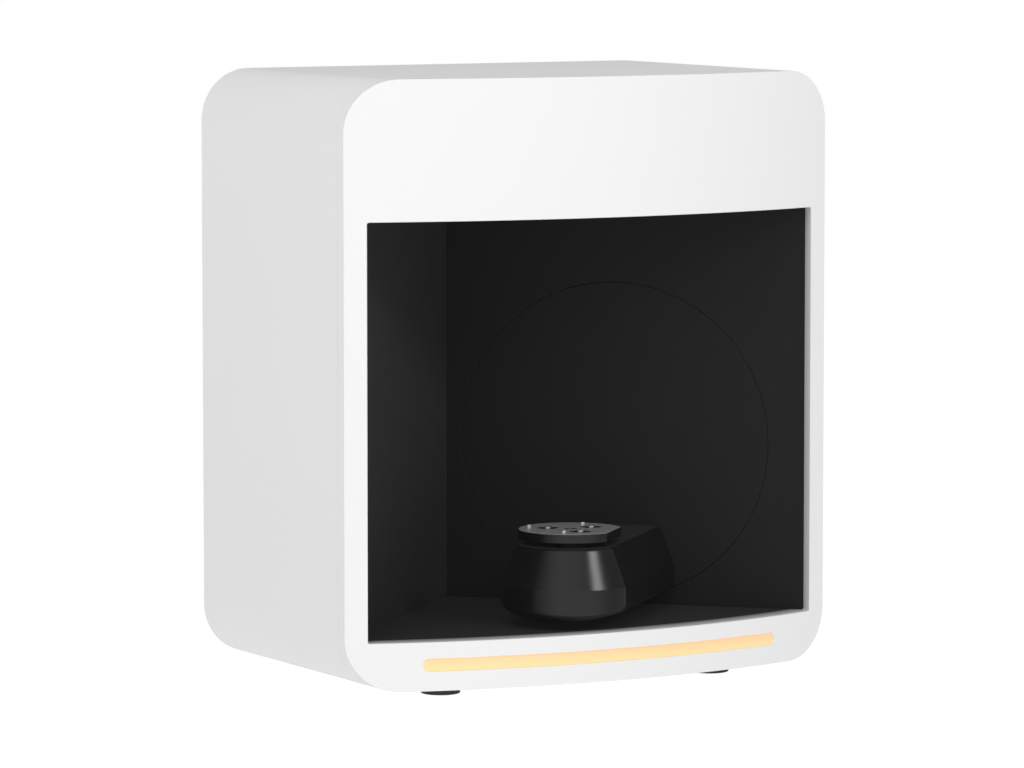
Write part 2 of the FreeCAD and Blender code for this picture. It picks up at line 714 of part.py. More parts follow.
def make_chassis():
    plate = Piece("chassis_plate")
    side = HALF_WIDTH - s.corner_radius - s.chassis_side_gap
    front = SEAM_Y + s.lip_length + s.fit_gap
    rear = PANEL_FRONT - s.flange_wall - s.fit_gap
    plate.pad("XY", CHASSIS_TOP - s.chassis_wall, s.chassis_wall, rectangle(-side, side, front, rear))
    holes = circles(foot_places(), s.foot_screw_radius + s.fit_gap)
    plate.cut("XY", UNDERSIDE, CHASSIS_TOP - UNDERSIDE + s.cut_overrun, *holes)
    node(plate.body)

    feet = Piece("rubber_feet")
    feet.pad("XY", ZERO, s.foot_height, *circles(foot_places(), s.foot_radius))
    bores = circles(foot_places(), s.foot_screw_radius + s.fit_gap)
    feet.cut("XY", ZERO, s.foot_height + s.cut_overrun, *bores)
    recesses = circles(foot_places(), s.foot_recess_radius)
    feet.cut("XY", -s.cut_overrun, s.foot_recess + s.cut_overrun, *recesses)
    node(feet.body)

    screws = Piece("foot_screws")
    heads = circles(foot_places(), s.foot_screw_head_radius)
    screws.pad("XY", s.foot_recess - s.foot_screw_head, s.foot_screw_head, *heads)
    shanks = circles(foot_places(), s.foot_screw_radius)
    screws.pad("XY", s.foot_recess, CHASSIS_TOP + s.foot_screw_grip - s.foot_recess, *shanks)
    node(screws.body)


def make_rear_panel():
    panel = Piece("rear_panel")
    panel.pad("XZ", PANEL_FRONT, s.panel_sheet, outline(s.shell_wall + s.panel_gap))
    through = s.panel_sheet + s.cut_overrun * 2
    start = PANEL_FRONT - s.cut_overrun
    panel.cut("XZ", start, through, *circles(rear_screw_places(), s.rear_screw_radius + s.fit_gap))
    panel.cut("XZ", start, through, circle(JACK_X, SOCKET_Z, s.jack_radius + s.fit_gap))
    usb_half = s.usb_width / 2 + s.fit_gap
    usb_tall = s.usb_height / 2 + s.fit_gap
    panel.cut("XZ", start, through, rectangle(
        USB_X - usb_half, USB_X + usb_half, SOCKET_Z - usb_tall, SOCKET_Z + usb_tall
    ))
    switch_half = s.switch_width / 2 + s.fit_gap
    switch_tall = s.switch_height / 2 + s.fit_gap
    panel.cut("XZ", start, through, rectangle(
        SWITCH_X - switch_half, SWITCH_X + switch_half, SOCKET_Z - switch_tall, SOCKET_Z + switch_tall
    ))
    grille = [circle(FAN_X, FAN_Z, s.grille_hole)]
    for ring in range(1, int(s.grille_rings.number) + 1):
        for i in range(6 * ring):
            bearing = math.radians(360 / (6 * ring) * i)
            across = s.grille_pitch * (ring * math.cos(bearing))
            upward = s.grille_pitch * (ring * math.sin(bearing))
            grille.append(circle(FAN_X + across, FAN_Z + upward, s.grille_hole))
    panel.cut("XZ", start, through, *grille)
    vents = []
    middle = (s.vent_count - 1) / 2
    for i in range(int(s.vent_count.number)):
        x = HALF_WIDTH - s.vent_inset + s.vent_pitch * (i - middle)
        low = UNDERSIDE + s.vent_rise
        vents.append(rectangle(x - s.vent_width / 2, x + s.vent_width / 2, low, low + s.vent_length))
    panel.cut("XZ", start, through, *vents)
    node(panel.body)

    screws = Piece("rear_screws")
    screws.pad("XZ", PANEL_BACK, s.rear_screw_head, *circles(rear_screw_places(), s.rear_screw_head_radius))
    shank = s.panel_sheet + s.flange_wall
    screws.pad("XZ", PANEL_BACK - shank, shank, *circles(rear_screw_places(), s.rear_screw_radius))
    node(screws.body)


# Chamber

LEFT_RUN = (SWING_X + HALF_OPENING + s.return_wall - s.corner_reach * cosine(s.chamber_angle)) / sine(
    s.chamber_angle
)


def chamber_block(label, x0, x1, y0, y1, z0, z1):
    item = doc.addObject("Part::Box", label)
    item.Label = label
    drive(item, Length=x1 - x0, Width=y1 - y0, Height=z1 - z0)
    return place_in_chamber(item, x0, y0, z0)


def chamber_slab(label, low):
    """A level panel that fills the chamber's plan from the opening's return to under the walls."""
    reach = s.body_width
    wedge = chamber_block(
        f"{label}_wedge", -s.corner_reach - s.panel_wall, reach, -reach, s.panel_wall, low, low + s.panel_wall
    )
    bowed = join("Common", f"{label}_bowed", wedge, bow(f"{label}_bow", ZERO, s.return_depth + s.fit_gap))
    side = HALF_OPENING + s.return_wall
    band = block(f"{label}_band", -side, side, FRONT_Y, REAR_Y, ZERO, TOP)
    return join("Common", label, bowed, band)


def make_chamber():
    node(chamber_slab("chamber_floor", FLOOR_DROP - s.panel_wall))

    slab = chamber_slab("ceiling_slab", CEILING_RISE)
    half = s.window_width / 2 - s.window_ledge
    deep = s.window_depth / 2 - s.window_ledge
    mouth = block(
        "ceiling_mouth", TURN_X - half, TURN_X + half, TURN_Y - deep, TURN_Y + deep,
        LINTEL - s.cut_overrun, LINTEL + s.panel_wall + s.cut_overrun,
    )
    node(join("Cut", "chamber_ceiling", slab, mouth))

    side = HALF_OPENING + s.return_wall
    along = cosine(s.chamber_angle)
    node(chamber_block(
        "chamber_left_wall", -s.corner_reach - s.panel_wall, -s.corner_reach, -LEFT_RUN, ZERO,
        FLOOR_DROP, CEILING_RISE,
    ))

    wall = Piece("chamber_swing_wall")
    right_end = (side - SWING_X) / along
    wall.pad(
        "XZ", ZERO, s.panel_wall,
        rectangle(-s.corner_reach - s.panel_wall, right_end, FLOOR_DROP, CEILING_RISE),
        circle(ZERO, ZERO, s.disc_radius + s.disc_gap),
    )
    node(place_in_chamber(wall.body))

    posts = Piece("floor_posts")
    left = s.post_inset - s.corner_reach
    near = -s.post_inset
    step = LEFT_RUN * s.post_spread_share
    places = [
        (left, near), (left, near - step), (left, near - step * 2),
        (left + step, near), (left + step * 2, near), (left + step, near - step),
    ]
    foot = CHASSIS_TOP - SWING_Z
    posts.pad("XY", foot, FLOOR_DROP - s.panel_wall - foot, *circles(places, s.post_radius))
    node(place_in_chamber(posts.body))

    glass = s.window_width / 2
    broad = s.window_depth / 2
    low = LINTEL + s.panel_wall
    node(block(
        "ceiling_window", TURN_X - glass, TURN_X + glass, TURN_Y - broad, TURN_Y + broad,
        low, low + s.glass_wall,
    ))


# Swing drive, in the chamber's own frame


def make_swing_drive():
    back = s.panel_wall
    disc = Piece("swing_disc")
    disc.pad("XZ", ZERO, s.panel_wall, circle(ZERO, ZERO, s.disc_radius))
    node(place_in_chamber(disc.body))

    hub = Piece("swing_hub")
    hub_end = back + s.hub_flange
    hub.pad("XZ", back, s.hub_flange, circle(ZERO, ZERO, s.hub_radius))
    hub.pad("XZ", back, s.hub_flange + s.shaft_length, circle(ZERO, ZERO, s.shaft_radius))
    hub.cut("XZ", back, s.hub_flange + s.shaft_length + s.cut_overrun, circle(ZERO, ZERO, s.shaft_bore))
    node(place_in_chamber(hub.body))

    plate_y = back + s.drive_plate_setback
    boss_end = plate_y + s.drive_plate_wall + s.boss_length
    standoff_x = s.disc_radius + s.disc_gap + s.standoff_radius + s.fit_gap
    half = standoff_x + s.standoff_radius
    pilot_hole = s.pilot_radius + s.pilot_gap
    plate = Piece("drive_plate")
    face = rectangle(-half, half, -s.drive_plate_drop, s.drive_plate_rise)
    plate.pad("XZ", plate_y, s.drive_plate_wall, face)
    plate.pad("XZ", plate_y, s.drive_plate_wall + s.boss_length, circle(ZERO, ZERO, s.boss_radius))
    plate.cut(
        "XZ", plate_y - s.cut_overrun, s.drive_plate_wall + s.boss_length + s.cut_overrun * 2,
        circle(ZERO, ZERO, s.bearing_radius),
        circle(ZERO, s.motor_rise, pilot_hole),
        circle(s.relief_x, s.relief_rise, s.relief_radius),
        circle(-s.relief_x, s.relief_rise, s.relief_radius),
    )
    node(place_in_chamber(plate.body))

    standoffs = Piece("drive_standoffs")
    corners = [
        (x, z) for x in (-standoff_x, standoff_x) for z in (-s.standoff_drop, s.standoff_rise)
    ]
    standoffs.pad("XZ", back, s.drive_plate_setback, *circles(corners, s.standoff_radius))
    node(place_in_chamber(standoffs.body))

    bearings = Piece("swing_bearings")
    for start in (plate_y, boss_end - s.bearing_width):
        bearings.pad(
            "XZ", start, s.bearing_width,
            circle(ZERO, ZERO, s.bearing_radius),
            circle(ZERO, ZERO, s.shaft_radius + s.running_gap),
        )
    node(place_in_chamber(bearings.body))

    collar = Piece("shaft_collar")
    collar.pad(
        "XZ", boss_end + s.turn_floor_gap, s.collar_width,
        circle(ZERO, ZERO, s.collar_radius), circle(ZERO, ZERO, s.shaft_radius),
    )
    node(place_in_chamber(collar.body))

    pulley_y = hub_end + s.pulley_setback
    rim_y = pulley_y + s.pulley_flange
    pulley_end = rim_y + s.pulley_width
    driven = Piece("driven_pulley")
    driven.pad("XZ", rim_y, s.pulley_width, circle(ZERO, ZERO, s.driven_radius))
    for start in (pulley_y, pulley_end):
        driven.pad("XZ", start, s.pulley_flange, circle(ZERO, ZERO, s.driven_radius + s.pulley_rim))
    driven.cut("XZ", hub_end, s.drive_plate_setback, circle(ZERO, ZERO, s.shaft_radius))
    node(place_in_chamber(driven.body))

    motor = Piece("swing_motor")
    motor_y = plate_y + s.drive_plate_wall
    body = s.motor_size / 2
    motor.pad("XZ", motor_y, s.motor_length, rounded(-body, body, -body, body, s.motor_corner))
    pilot_y = motor_y - s.pilot_length
    motor.pad("XZ", pilot_y, s.pilot_length, circle(ZERO, ZERO, s.pilot_radius))
    motor.cut("XZ", pilot_y, s.motor_bore, circle(ZERO, ZERO, s.motor_shaft_radius + s.running_gap))
    node(place_in_chamber(motor.body, ZERO, ZERO, s.motor_rise))

    driver = Piece("motor_pulley")
    driver.pad("XZ", rim_y, s.pulley_width, circle(ZERO, ZERO, s.driver_radius))
    for start in (pulley_y, pulley_end):
        driver.pad("XZ", start, s.pulley_flange, circle(ZERO, ZERO, s.driver_radius + s.pulley_rim))
    hub_start = pulley_end + s.pulley_flange
    driver.pad("XZ", hub_start, s.pulley_hub_length, circle(ZERO, ZERO, s.pulley_hub_radius))
    shaft_end = pilot_y + s.motor_shaft_grip
    driver.pad("XZ", pulley_y, shaft_end - pulley_y, circle(ZERO, ZERO, s.motor_shaft_radius))
    node(place_in_chamber(driver.body, ZERO, ZERO, s.motor_rise))

    belt = Piece("drive_belt")
    low = s.driven_radius + s.belt_gap
    high = s.driver_radius + s.belt_gap
    belt_y = rim_y + (s.pulley_width - s.belt_width) / 2
    belt.pad(
        "XZ", belt_y, s.belt_width,
        belt_line(low + s.belt_wall, high + s.belt_wall, s.motor_rise),
        belt_line(low, high, s.motor_rise),
    )
    node(place_in_chamber(belt.body))


# Arm, with its own frame on the turntable's axis at the height of the swing axis


def place_on_arm(item):
    return place_in_chamber(item, ZERO, -s.arm_reach, ZERO)


ARM_TOP = -s.arm_top_drop
ARM_SHOULDER = -s.arm_shoulder_drop


def below_arc(radius, half, depth):
    """All that lies under a hollow round the origin, down to a depth."""

    def draw(drawing):
        drop = square_root(radius * radius - half * half)
        wide, low, base = half.number, -drop.number, -depth.number
        lean = math.atan2(-drop.number, half.number)
        hollow = Part.ArcOfCircle(
            Part.Circle(Vector(), Vector(0, 0, 1), radius.number), -math.pi - lean, lean
        )
        arc = drawing.addGeometry(hollow, False)
        points = [Vector(wide, low, 0), Vector(wide, base, 0), Vector(-wide, base, 0), Vector(-wide, low, 0)]
        lines = []
        for start, end in zip(points, points[1:]):
            lines.append(drawing.addGeometry(Part.LineSegment(start, end), False))
        right, bottom, left = lines
        drawing.addConstraint(Sketcher.Constraint("Coincident", arc, 3, -1, 1))
        for edge, end, following, start in (
            (arc, 2, right, 1), (right, 2, bottom, 1), (bottom, 2, left, 1), (left, 2, arc, 1)
        ):
            drawing.addConstraint(Sketcher.Constraint("Coincident", edge, end, following, start))
        fix_radius(drawing, arc, radius)
        fix(drawing, "DistanceX", (right, 1), half)
        fix(drawing, "DistanceX", (left, 2), -half)
        fix(drawing, "DistanceX", (bottom, 1), half)
        fix(drawing, "DistanceX", (bottom, 2), -half)
        fix(drawing, "DistanceY", (bottom, 1), -depth)
        fix(drawing, "DistanceY", (bottom, 2), -depth)

    return draw


def make_arm():
    wide = s.arm_band_radius
    narrow = s.arm_top_radius
    side = wide - s.arm_side_inset
    top_side = narrow - s.arm_side_inset
    cover = Piece("arm_cover")
    cover.pad("XZ", ZERO, s.arm_reach, polygon(
        (-wide, ARM_SHOULDER), (wide, ARM_SHOULDER), (narrow, ARM_TOP), (-narrow, ARM_TOP),
    ))
    cover.turn("Revolution", polygon(
        (ZERO, ARM_SHOULDER), (wide, ARM_SHOULDER), (narrow, ARM_TOP), (ZERO, ARM_TOP),
    ))
    low = ARM_SHOULDER - s.cut_overrun
    high = ARM_TOP + s.cut_overrun
    spill = s.cut_overrun * (wide - narrow) / (ARM_TOP - ARM_SHOULDER)
    clear = wide + s.cut_overrun + spill
    start = -wide - s.cut_overrun
    run = s.arm_reach + wide + s.cut_overrun * 2
    for way in (as_size(1), as_size(-1)):
        cover.cut("XZ", start, run, polygon(
            ((side + spill) * way, low), (clear * way, low),
            (clear * way, high), ((top_side - spill) * way, high),
        ))
    touch = s.running_gap.number

    def nose_corner(edge):
        box = edge.BoundBox
        beside = box.XMin * box.XMax > touch and box.XLength < box.ZLength
        return beside and box.YMax < -touch

    def top_rim(edge):
        box = edge.BoundBox
        return box.ZMin > ARM_TOP.number - touch and box.YMin < s.arm_reach.number - touch

    cover.soften("Fillet", s.arm_side_round, nose_corner)
    cover.soften("Fillet", s.arm_edge, top_rim)
    roof = ARM_TOP - s.arm_wall
    broad = side - s.arm_wall
    slim = top_side - s.arm_wall
    cover.cut("XZ", ZERO, s.arm_reach + s.cut_overrun, polygon(
        (-broad, low), (broad, low), (broad, ARM_SHOULDER),
        (slim, roof), (-slim, roof), (-broad, ARM_SHOULDER),
    ))
    cover.turn("Groove", polygon(
        (ZERO, low), (broad, low), (broad, ARM_SHOULDER), (slim, roof), (ZERO, roof),
    ))
    hole = circle(ZERO, ZERO, s.turn_hub_radius + s.turn_hub_gap)
    cover.cut("XY", roof - s.cut_overrun, s.arm_wall + s.cut_overrun * 2, hole)
    node(place_on_arm(cover.body))

    belly = s.arm_belly_radius
    rise = belly - s.arm_belly_drop
    shoulder = ARM_SHOULDER - rise
    outside = Piece("tray_outside")
    outside.pad("XY", -belly, shoulder + belly, trimmed_nose(wide, side, s.arm_reach))
    outside.soften("Fillet", s.arm_side_round, nose_corner)
    below = wide + s.cut_overrun
    outside.cut("XZ", start, run, below_arc(belly, below, belly + s.cut_overrun))
    rim = -square_root(belly * belly - side * side)

    def lower_edge(edge):
        box = edge.BoundBox
        return box.ZMax < rim.number + touch and box.YMin < s.arm_reach.number - touch

    outside.soften("Fillet", s.arm_lower_round, lower_edge)
    inside = Piece("tray_inside")
    depth = shoulder + belly + s.cut_overrun
    inside.pad("XY", -belly, depth, stadium(broad, s.arm_reach + s.cut_overrun))
    drum = doc.addObject("Part::Cylinder", "tray_drum")
    drum.Placement = Placement(Vector(), Rotation(Vector(1, 0, 0), -90))
    drive(drum, Radius=belly - s.arm_wall, Height=run)
    place(drum, ZERO, start, ZERO)
    cavity = join("Common", "tray_cavity", inside.body, drum)
    tray = join("Cut", "arm_tray", outside.body, cavity)
    node(place_in_chamber(tray, ZERO, -s.arm_reach, rise))

    spine = Piece("arm_spine")
    deck = -s.spine_drop
    half = s.spine_half_width
    spine.pad("XY", deck, s.spine_wall, rectangle(-half, half, -s.spine_nose, s.arm_reach))
    foot = deck - s.turn_motor_height / 2
    head = ARM_TOP - s.arm_wall - s.spine_gap
    spine.pad("XZ", s.arm_reach - s.spine_wall, s.spine_wall, rectangle(-half, half, foot, head))
    pilot_hole = circle(ZERO, ZERO, s.pilot_radius + s.pilot_gap)
    spine.cut("XY", deck - s.cut_overrun, s.spine_wall + s.cut_overrun * 2, pilot_hole)
    node(place_on_arm(spine.body))

    motor = Piece("turntable_motor")
    body = s.turn_motor_size / 2
    motor_low = deck - s.turn_motor_height
    motor.pad("XY", motor_low, s.turn_motor_height, rounded(-body, body, -body, body, s.turn_motor_corner))
    motor.pad("XY", deck, s.pilot_length, circle(ZERO, ZERO, s.pilot_radius))
    bore_low = deck + s.pilot_length - s.motor_bore
    bore = circle(ZERO, ZERO, s.motor_shaft_radius + s.running_gap)
    motor.cut("XY", bore_low, s.motor_bore + s.cut_overrun, bore)
    node(place_on_arm(motor.body))

    bearing = Piece("turntable_bearing")
    inner = s.turn_hub_radius + s.running_gap
    bearing.pad(
        "XY", deck + s.spine_wall, s.turn_bearing_height,
        circle(ZERO, ZERO, inner + s.turn_bearing_wall), circle(ZERO, ZERO, inner),
    )
    node(place_on_arm(bearing.body))


# Turntable, in the arm's frame

PLATE_LOW = -s.plate_bottom_drop
PLATE_HIGH = -s.plate_top_drop


def make_turntable():
    spine_top = s.spine_wall - s.spine_drop
    hub = Piece("turntable_hub")
    hub_low = spine_top + s.turn_floor_gap
    hub.pad("XY", hub_low, PLATE_LOW - hub_low, circle(ZERO, ZERO, s.turn_hub_radius))
    shaft_low = s.pilot_length - s.spine_drop - s.motor_shaft_grip
    hub.pad("XY", shaft_low, hub_low - shaft_low, circle(ZERO, ZERO, s.motor_shaft_radius))
    grip_low = PLATE_LOW - s.centre_grip
    thread = circle(ZERO, ZERO, s.centre_shank + s.running_gap)
    hub.cut("XY", grip_low, s.centre_grip + s.cut_overrun, thread)
    node(place_on_arm(hub.body))

    pins_at = [(-s.side_pin_x, ZERO), (s.rear_pin_x, s.rear_pin_y), (s.rear_pin_x, -s.rear_pin_y)]
    magnets_at = [
        (-s.left_magnet_x, ZERO),
        (s.right_magnet_x, s.right_magnet_y),
        (s.right_magnet_x, -s.right_magnet_y),
    ]
    seat = PLATE_HIGH - s.magnet_depth
    plate = Piece("turntable_plate")
    plate.pad("XY", PLATE_LOW, PLATE_HIGH - PLATE_LOW, notched_circle(s.plate_radius, s.plate_flat))
    touch = s.running_gap.number

    def rim_edge(edge):
        box = edge.BoundBox
        return box.ZLength < touch

    plate.soften("Chamfer", s.plate_edge, rim_edge)
    recesses = circles(magnets_at, s.magnet_radius + s.magnet_gap)
    plate.cut("XY", seat, s.magnet_depth + s.cut_overrun, *recesses)
    stud_low = seat - s.stud_grip
    plate.cut("XY", stud_low, s.stud_grip + s.cut_overrun, *circles(magnets_at, s.stud_shank + s.running_gap))
    pin_low = PLATE_HIGH - s.pin_seat
    plate.cut("XY", pin_low, s.pin_seat + s.cut_overrun, *circles(pins_at, s.pin_radius + s.running_gap))
    bore_low = PLATE_HIGH - s.counterbore_depth
    plate.cut("XY", bore_low, s.counterbore_depth + s.cut_overrun, circle(ZERO, ZERO, s.counterbore_radius))
    through = circle(ZERO, ZERO, s.centre_shank + s.running_gap)
    plate.cut("XY", PLATE_LOW - s.cut_overrun, bore_low - PLATE_LOW + s.cut_overrun * 2, through)
    node(place_on_arm(plate.body))

    def top_edge(height):
        return lambda edge: abs(edge.BoundBox.ZMin - height.number) < touch

    pins = Piece("locating_pins")
    pin_high = PLATE_HIGH + s.pin_rise
    pins.pad("XY", pin_low, pin_high - pin_low, *circles(pins_at, s.pin_radius))
    pins.soften("Fillet", s.pin_edge, top_edge(pin_high))
    node(place_on_arm(pins.body))

    magnets = Piece("plate_magnets")
    rings = circles(magnets_at, s.magnet_radius) + circles(magnets_at, s.magnet_bore)
    magnets.pad("XY", seat, s.magnet_depth - s.magnet_sink, *rings)
    node(place_on_arm(magnets.body))

    studs = Piece("magnet_studs")
    head_low = PLATE_HIGH - s.magnet_sink
    studs.pad("XY", stud_low, head_low - stud_low, *circles(magnets_at, s.stud_shank))
    stud_high = PLATE_HIGH + s.stud_rise
    studs.pad("XY", head_low, stud_high - head_low, *circles(magnets_at, s.stud_radius))
    studs.soften("Fillet", s.stud_edge, top_edge(stud_high))
    node(place_on_arm(studs.body))

    screw = Piece("centre_screw")
    screw.pad("XY", bore_low, s.centre_head, circle(ZERO, ZERO, s.centre_head_radius))
    tip = grip_low + s.turn_floor_gap
    screw.pad("XY", tip, bore_low - tip, circle(ZERO, ZERO, s.centre_shank))
    node(place_on_arm(screw.body))


# Optics above the ceiling


def make_optics():
    frame_low = LINTEL + s.panel_wall + s.frame_rise
    deck = frame_low + s.frame_wall
    frame = Piece("optical_frame")
    half = s.window_width / 2 + s.frame_side_margin
    deep = s.window_depth / 2 + s.frame_end_margin
    frame.pad("XY", frame_low, s.frame_wall, rectangle(-half, half, -deep, deep))
    slot = s.camera_slot_half
    frame.cut(
        "XY", frame_low - s.cut_overrun, s.frame_wall + s.cut_overrun * 2,
        circle(ZERO, ZERO, s.lens_radius + s.lens_hole_gap),
        *[rectangle(x - slot, x + slot, s.camera_lens_ring - slot, slot - s.camera_lens_ring)
          for x in (-s.camera_spread, s.camera_spread)],
    )
    node(place(frame.body, TURN_X, TURN_Y))

    posts = Piece("optical_posts")
    corners = all_around(half - s.frame_post_inset, deep - s.frame_post_inset)
    posts.pad("XY", LINTEL + s.panel_wall, s.frame_rise, *circles(corners, s.post_radius))
    node(place(posts.body, TURN_X, TURN_Y))

    projector = Piece("projector_body")
    wide = s.projector_width / 2
    broad = s.projector_depth / 2
    projector.pad(
        "XY", deck, s.projector_height,
        rounded(-wide, wide, -broad, broad, s.projector_corner),
    )
    fins = int(s.fin_count.number)
    pitch = (s.projector_width - s.projector_corner * 2 - s.fin_wall) / (s.fin_count - 1)
    grooves = []
    for i in range(fins - 1):
        x = pitch * i + s.projector_corner + s.fin_wall - wide
        grooves.append(rectangle(x, x + pitch - s.fin_wall, -broad - s.cut_overrun, broad + s.cut_overrun))
    top = deck + s.projector_height
    projector.cut("XY", top - s.fin_depth, s.fin_depth + s.cut_overrun, *grooves)
    node(place(projector.body, TURN_X, TURN_Y))

    lens = Piece("projector_lens")
    tip = deck - s.lens_length
    lens.pad("XY", tip, s.lens_length, circle(ZERO, ZERO, s.lens_radius))
    lens.pad("XY", tip, s.lens_ring_length, circle(ZERO, ZERO, s.lens_radius + s.lens_ring))
    lens.cut("XY", tip - s.cut_overrun, s.lens_dish_depth + s.cut_overrun, circle(ZERO, ZERO, s.lens_dish))
    node(place(lens.body, TURN_X, TURN_Y))

    for name, side in (("left", -1), ("right", 1)):
        body = Piece(f"{name}_camera")
        half = s.camera_size / 2
        body.pad("XY", ZERO, s.camera_length, rounded(-half, half, -half, half, s.camera_corner))
        optic = Piece(f"{name}_camera_lens")
        optic.pad("XY", -s.camera_lens_length, s.camera_lens_length, circle(ZERO, ZERO, s.camera_lens_radius))
        optic.pad(
            "XY", -s.camera_lens_length, s.camera_lens_length / 2,
            circle(ZERO, ZERO, s.camera_lens_radius + s.camera_lens_ring),
        )
        optic.cut(
            "XY", -s.camera_lens_length - s.cut_overrun, s.lens_dish_depth + s.cut_overrun,
            circle(ZERO, ZERO, s.camera_lens_radius - s.camera_lens_ring),
        )
        for item in (body.body, optic.body):
            place(
                item, TURN_X + s.camera_spread * side, TURN_Y, deck + s.camera_rise,
                s.camera_tilt, Vector(0, side, 0),
            )
            node(item)

    brackets = Piece("camera_brackets")
    face = s.camera_size / 2
    wing = s.bracket_half_width
    for side in (-1, 1):
        x = s.camera_spread * side - wing
        brackets.pad("YZ", x, wing * 2, polygon(
            (face, deck), (face + s.bracket_foot, deck), (face + s.bracket_foot, deck + s.bracket_wall),
            (face + s.bracket_wall, deck + s.bracket_wall), (face + s.bracket_wall, deck + s.bracket_height),
            (face, deck + s.bracket_height),
        ))
    node(place(brackets.body, TURN_X, TURN_Y))


# Electronics behind the left wall


def make_board():
    wall_back = -s.corner_reach - s.panel_wall
    board_face = wall_back - s.board_gap
    board_back = board_face - s.board_thickness
    y0 = -(LEFT_RUN + s.board_width) / 2
    y1 = y0 + s.board_width
    z0 = -s.board_drop
    z1 = s.board_height - s.board_drop
    board = Piece("main_board")
    board.pad("YZ", board_back, s.board_thickness, rectangle(y0, y1, z0, z1))
    node(place_in_chamber(board.body))

    posts = Piece("board_posts")
    inset = s.board_post_inset
    corners = [(y, z) for y in (y0 + inset, y1 - inset) for z in (z0 + inset, z1 - inset)]
    posts.pad("YZ", board_face, s.board_gap, *circles(corners, s.board_post_radius))
    node(place_in_chamber(posts.body))

    parts = Piece("board_components")
    chips = []
    for row in range(int(s.chip_rows.number)):
        low = z0 + s.chip_size + s.chip_pitch * row
        chips.append(rectangle(y0 + s.chip_size, y0 + s.chip_size * 2, low, low + s.chip_size))
    parts.pad("YZ", board_back - s.chip_height, s.chip_height, *chips)
    sink_low = z0 + s.chip_size
    sink_start = y1 - s.chip_size - s.sink_size
    parts.pad("YZ", board_back - s.sink_height, s.sink_height, rectangle(
        sink_start, sink_start + s.sink_size, sink_low, sink_low + s.sink_size
    ))
    plug_start = y0 + s.chip_size
    plug_low = z1 - s.chip_size
    parts.pad("YZ", board_back - s.plug_height, s.plug_height, rectangle(
        plug_start, plug_start + s.plug_width, plug_low, plug_low + s.plug_depth
    ))
    node(place_in_chamber(parts.body))


# Back: fan, sockets and power switch


def make_fan():
    front = PANEL_FRONT - s.fan_depth
    half = s.fan_size / 2
    strut = s.fan_strut / 2
    frame = Piece("fan_frame")
    frame.pad(
        "XZ", front, s.fan_depth,
        rounded(-half, half, -half, half, s.fan_corner), circle(ZERO, ZERO, s.fan_bore),
    )
    arm = s.fan_bore + strut
    wall_y = PANEL_FRONT - s.fan_hub_wall
    frame.pad("XZ", wall_y, s.fan_hub_wall, rectangle(-arm, arm, -strut, strut))
    frame.pad("XZ", wall_y, s.fan_hub_wall, rectangle(-strut, strut, -arm, arm))
    frame.pad("XZ", wall_y, s.fan_hub_wall, circle(ZERO, ZERO, s.fan_hub_radius))
    pin_hole = circle(ZERO, ZERO, s.fan_pin_radius + s.running_gap)
    frame.cut("XZ", wall_y - s.cut_overrun, s.fan_hub_wall + s.cut_overrun * 2, pin_hole)
    node(place(frame.body, FAN_X, ZERO, FAN_Z))

    rotor = Piece("fan_rotor")
    hub_front = front + s.fan_blade_gap
    hub_back = wall_y - s.fan_hub_gap
    rotor.pad("XZ", hub_front, hub_back - hub_front, circle(ZERO, ZERO, s.fan_hub_radius))
    pin_end = PANEL_FRONT - s.fan_hub_gap
    rotor.pad("XZ", hub_back, pin_end - hub_back, circle(ZERO, ZERO, s.fan_pin_radius))
    root = s.fan_hub_radius - s.fan_blade_wall
    tip = s.fan_bore - s.fan_tip_gap
    near = hub_front + s.fan_hub_gap
    far = hub_back - s.fan_hub_gap
    low = -s.fan_blade_sweep / 2
    high = s.fan_blade_sweep / 2
    blade = rotor.pad("YZ", root, tip - root, polygon(
        (near, low), (near, low + s.fan_blade_wall * 2), (far, high), (far, high - s.fan_blade_wall * 2),
    ))
    rotor.ring([blade], "Y", s.fan_blades, FULL_TURN)
    node(place(rotor.body, FAN_X, ZERO, FAN_Z))


def make_sockets():
    jack = Piece("power_jack")
    jack_y = PANEL_BACK - s.jack_depth
    jack.pad("XZ", jack_y, s.jack_depth, circle(ZERO, ZERO, s.jack_radius))
    jack.pad("XZ", PANEL_BACK, s.jack_rim, circle(ZERO, ZERO, s.jack_radius + s.jack_rim))
    mouth_y = PANEL_BACK + s.jack_rim
    bore_y = mouth_y - s.jack_bore_depth
    jack.cut("XZ", bore_y, s.jack_bore_depth + s.cut_overrun, circle(ZERO, ZERO, s.jack_bore))
    jack.pad("XZ", bore_y, s.jack_bore_depth - s.jack_pin, circle(ZERO, ZERO, s.jack_pin))
    node(place(jack.body, JACK_X, ZERO, SOCKET_Z))

    usb = Piece("usb_socket")
    half = s.usb_width / 2
    tall = s.usb_height / 2
    mouth = s.usb_mouth_width / 2
    high = s.usb_mouth_height / 2
    usb.pad("XZ", PANEL_BACK - s.usb_depth, s.usb_depth, rectangle(-half, half, -tall, tall))
    usb.cut(
        "XZ", PANEL_BACK - s.usb_mouth_depth, s.usb_mouth_depth + s.cut_overrun,
        rectangle(-mouth, mouth, -high, high),
    )
    tongue = s.usb_mouth_width / 4
    usb.pad(
        "XZ", PANEL_BACK - s.usb_mouth_depth, s.usb_mouth_depth - s.jack_pin,
        rectangle(-tongue, tongue, -s.jack_pin, s.jack_pin),
    )
    node(place(usb.body, USB_X, ZERO, SOCKET_Z))


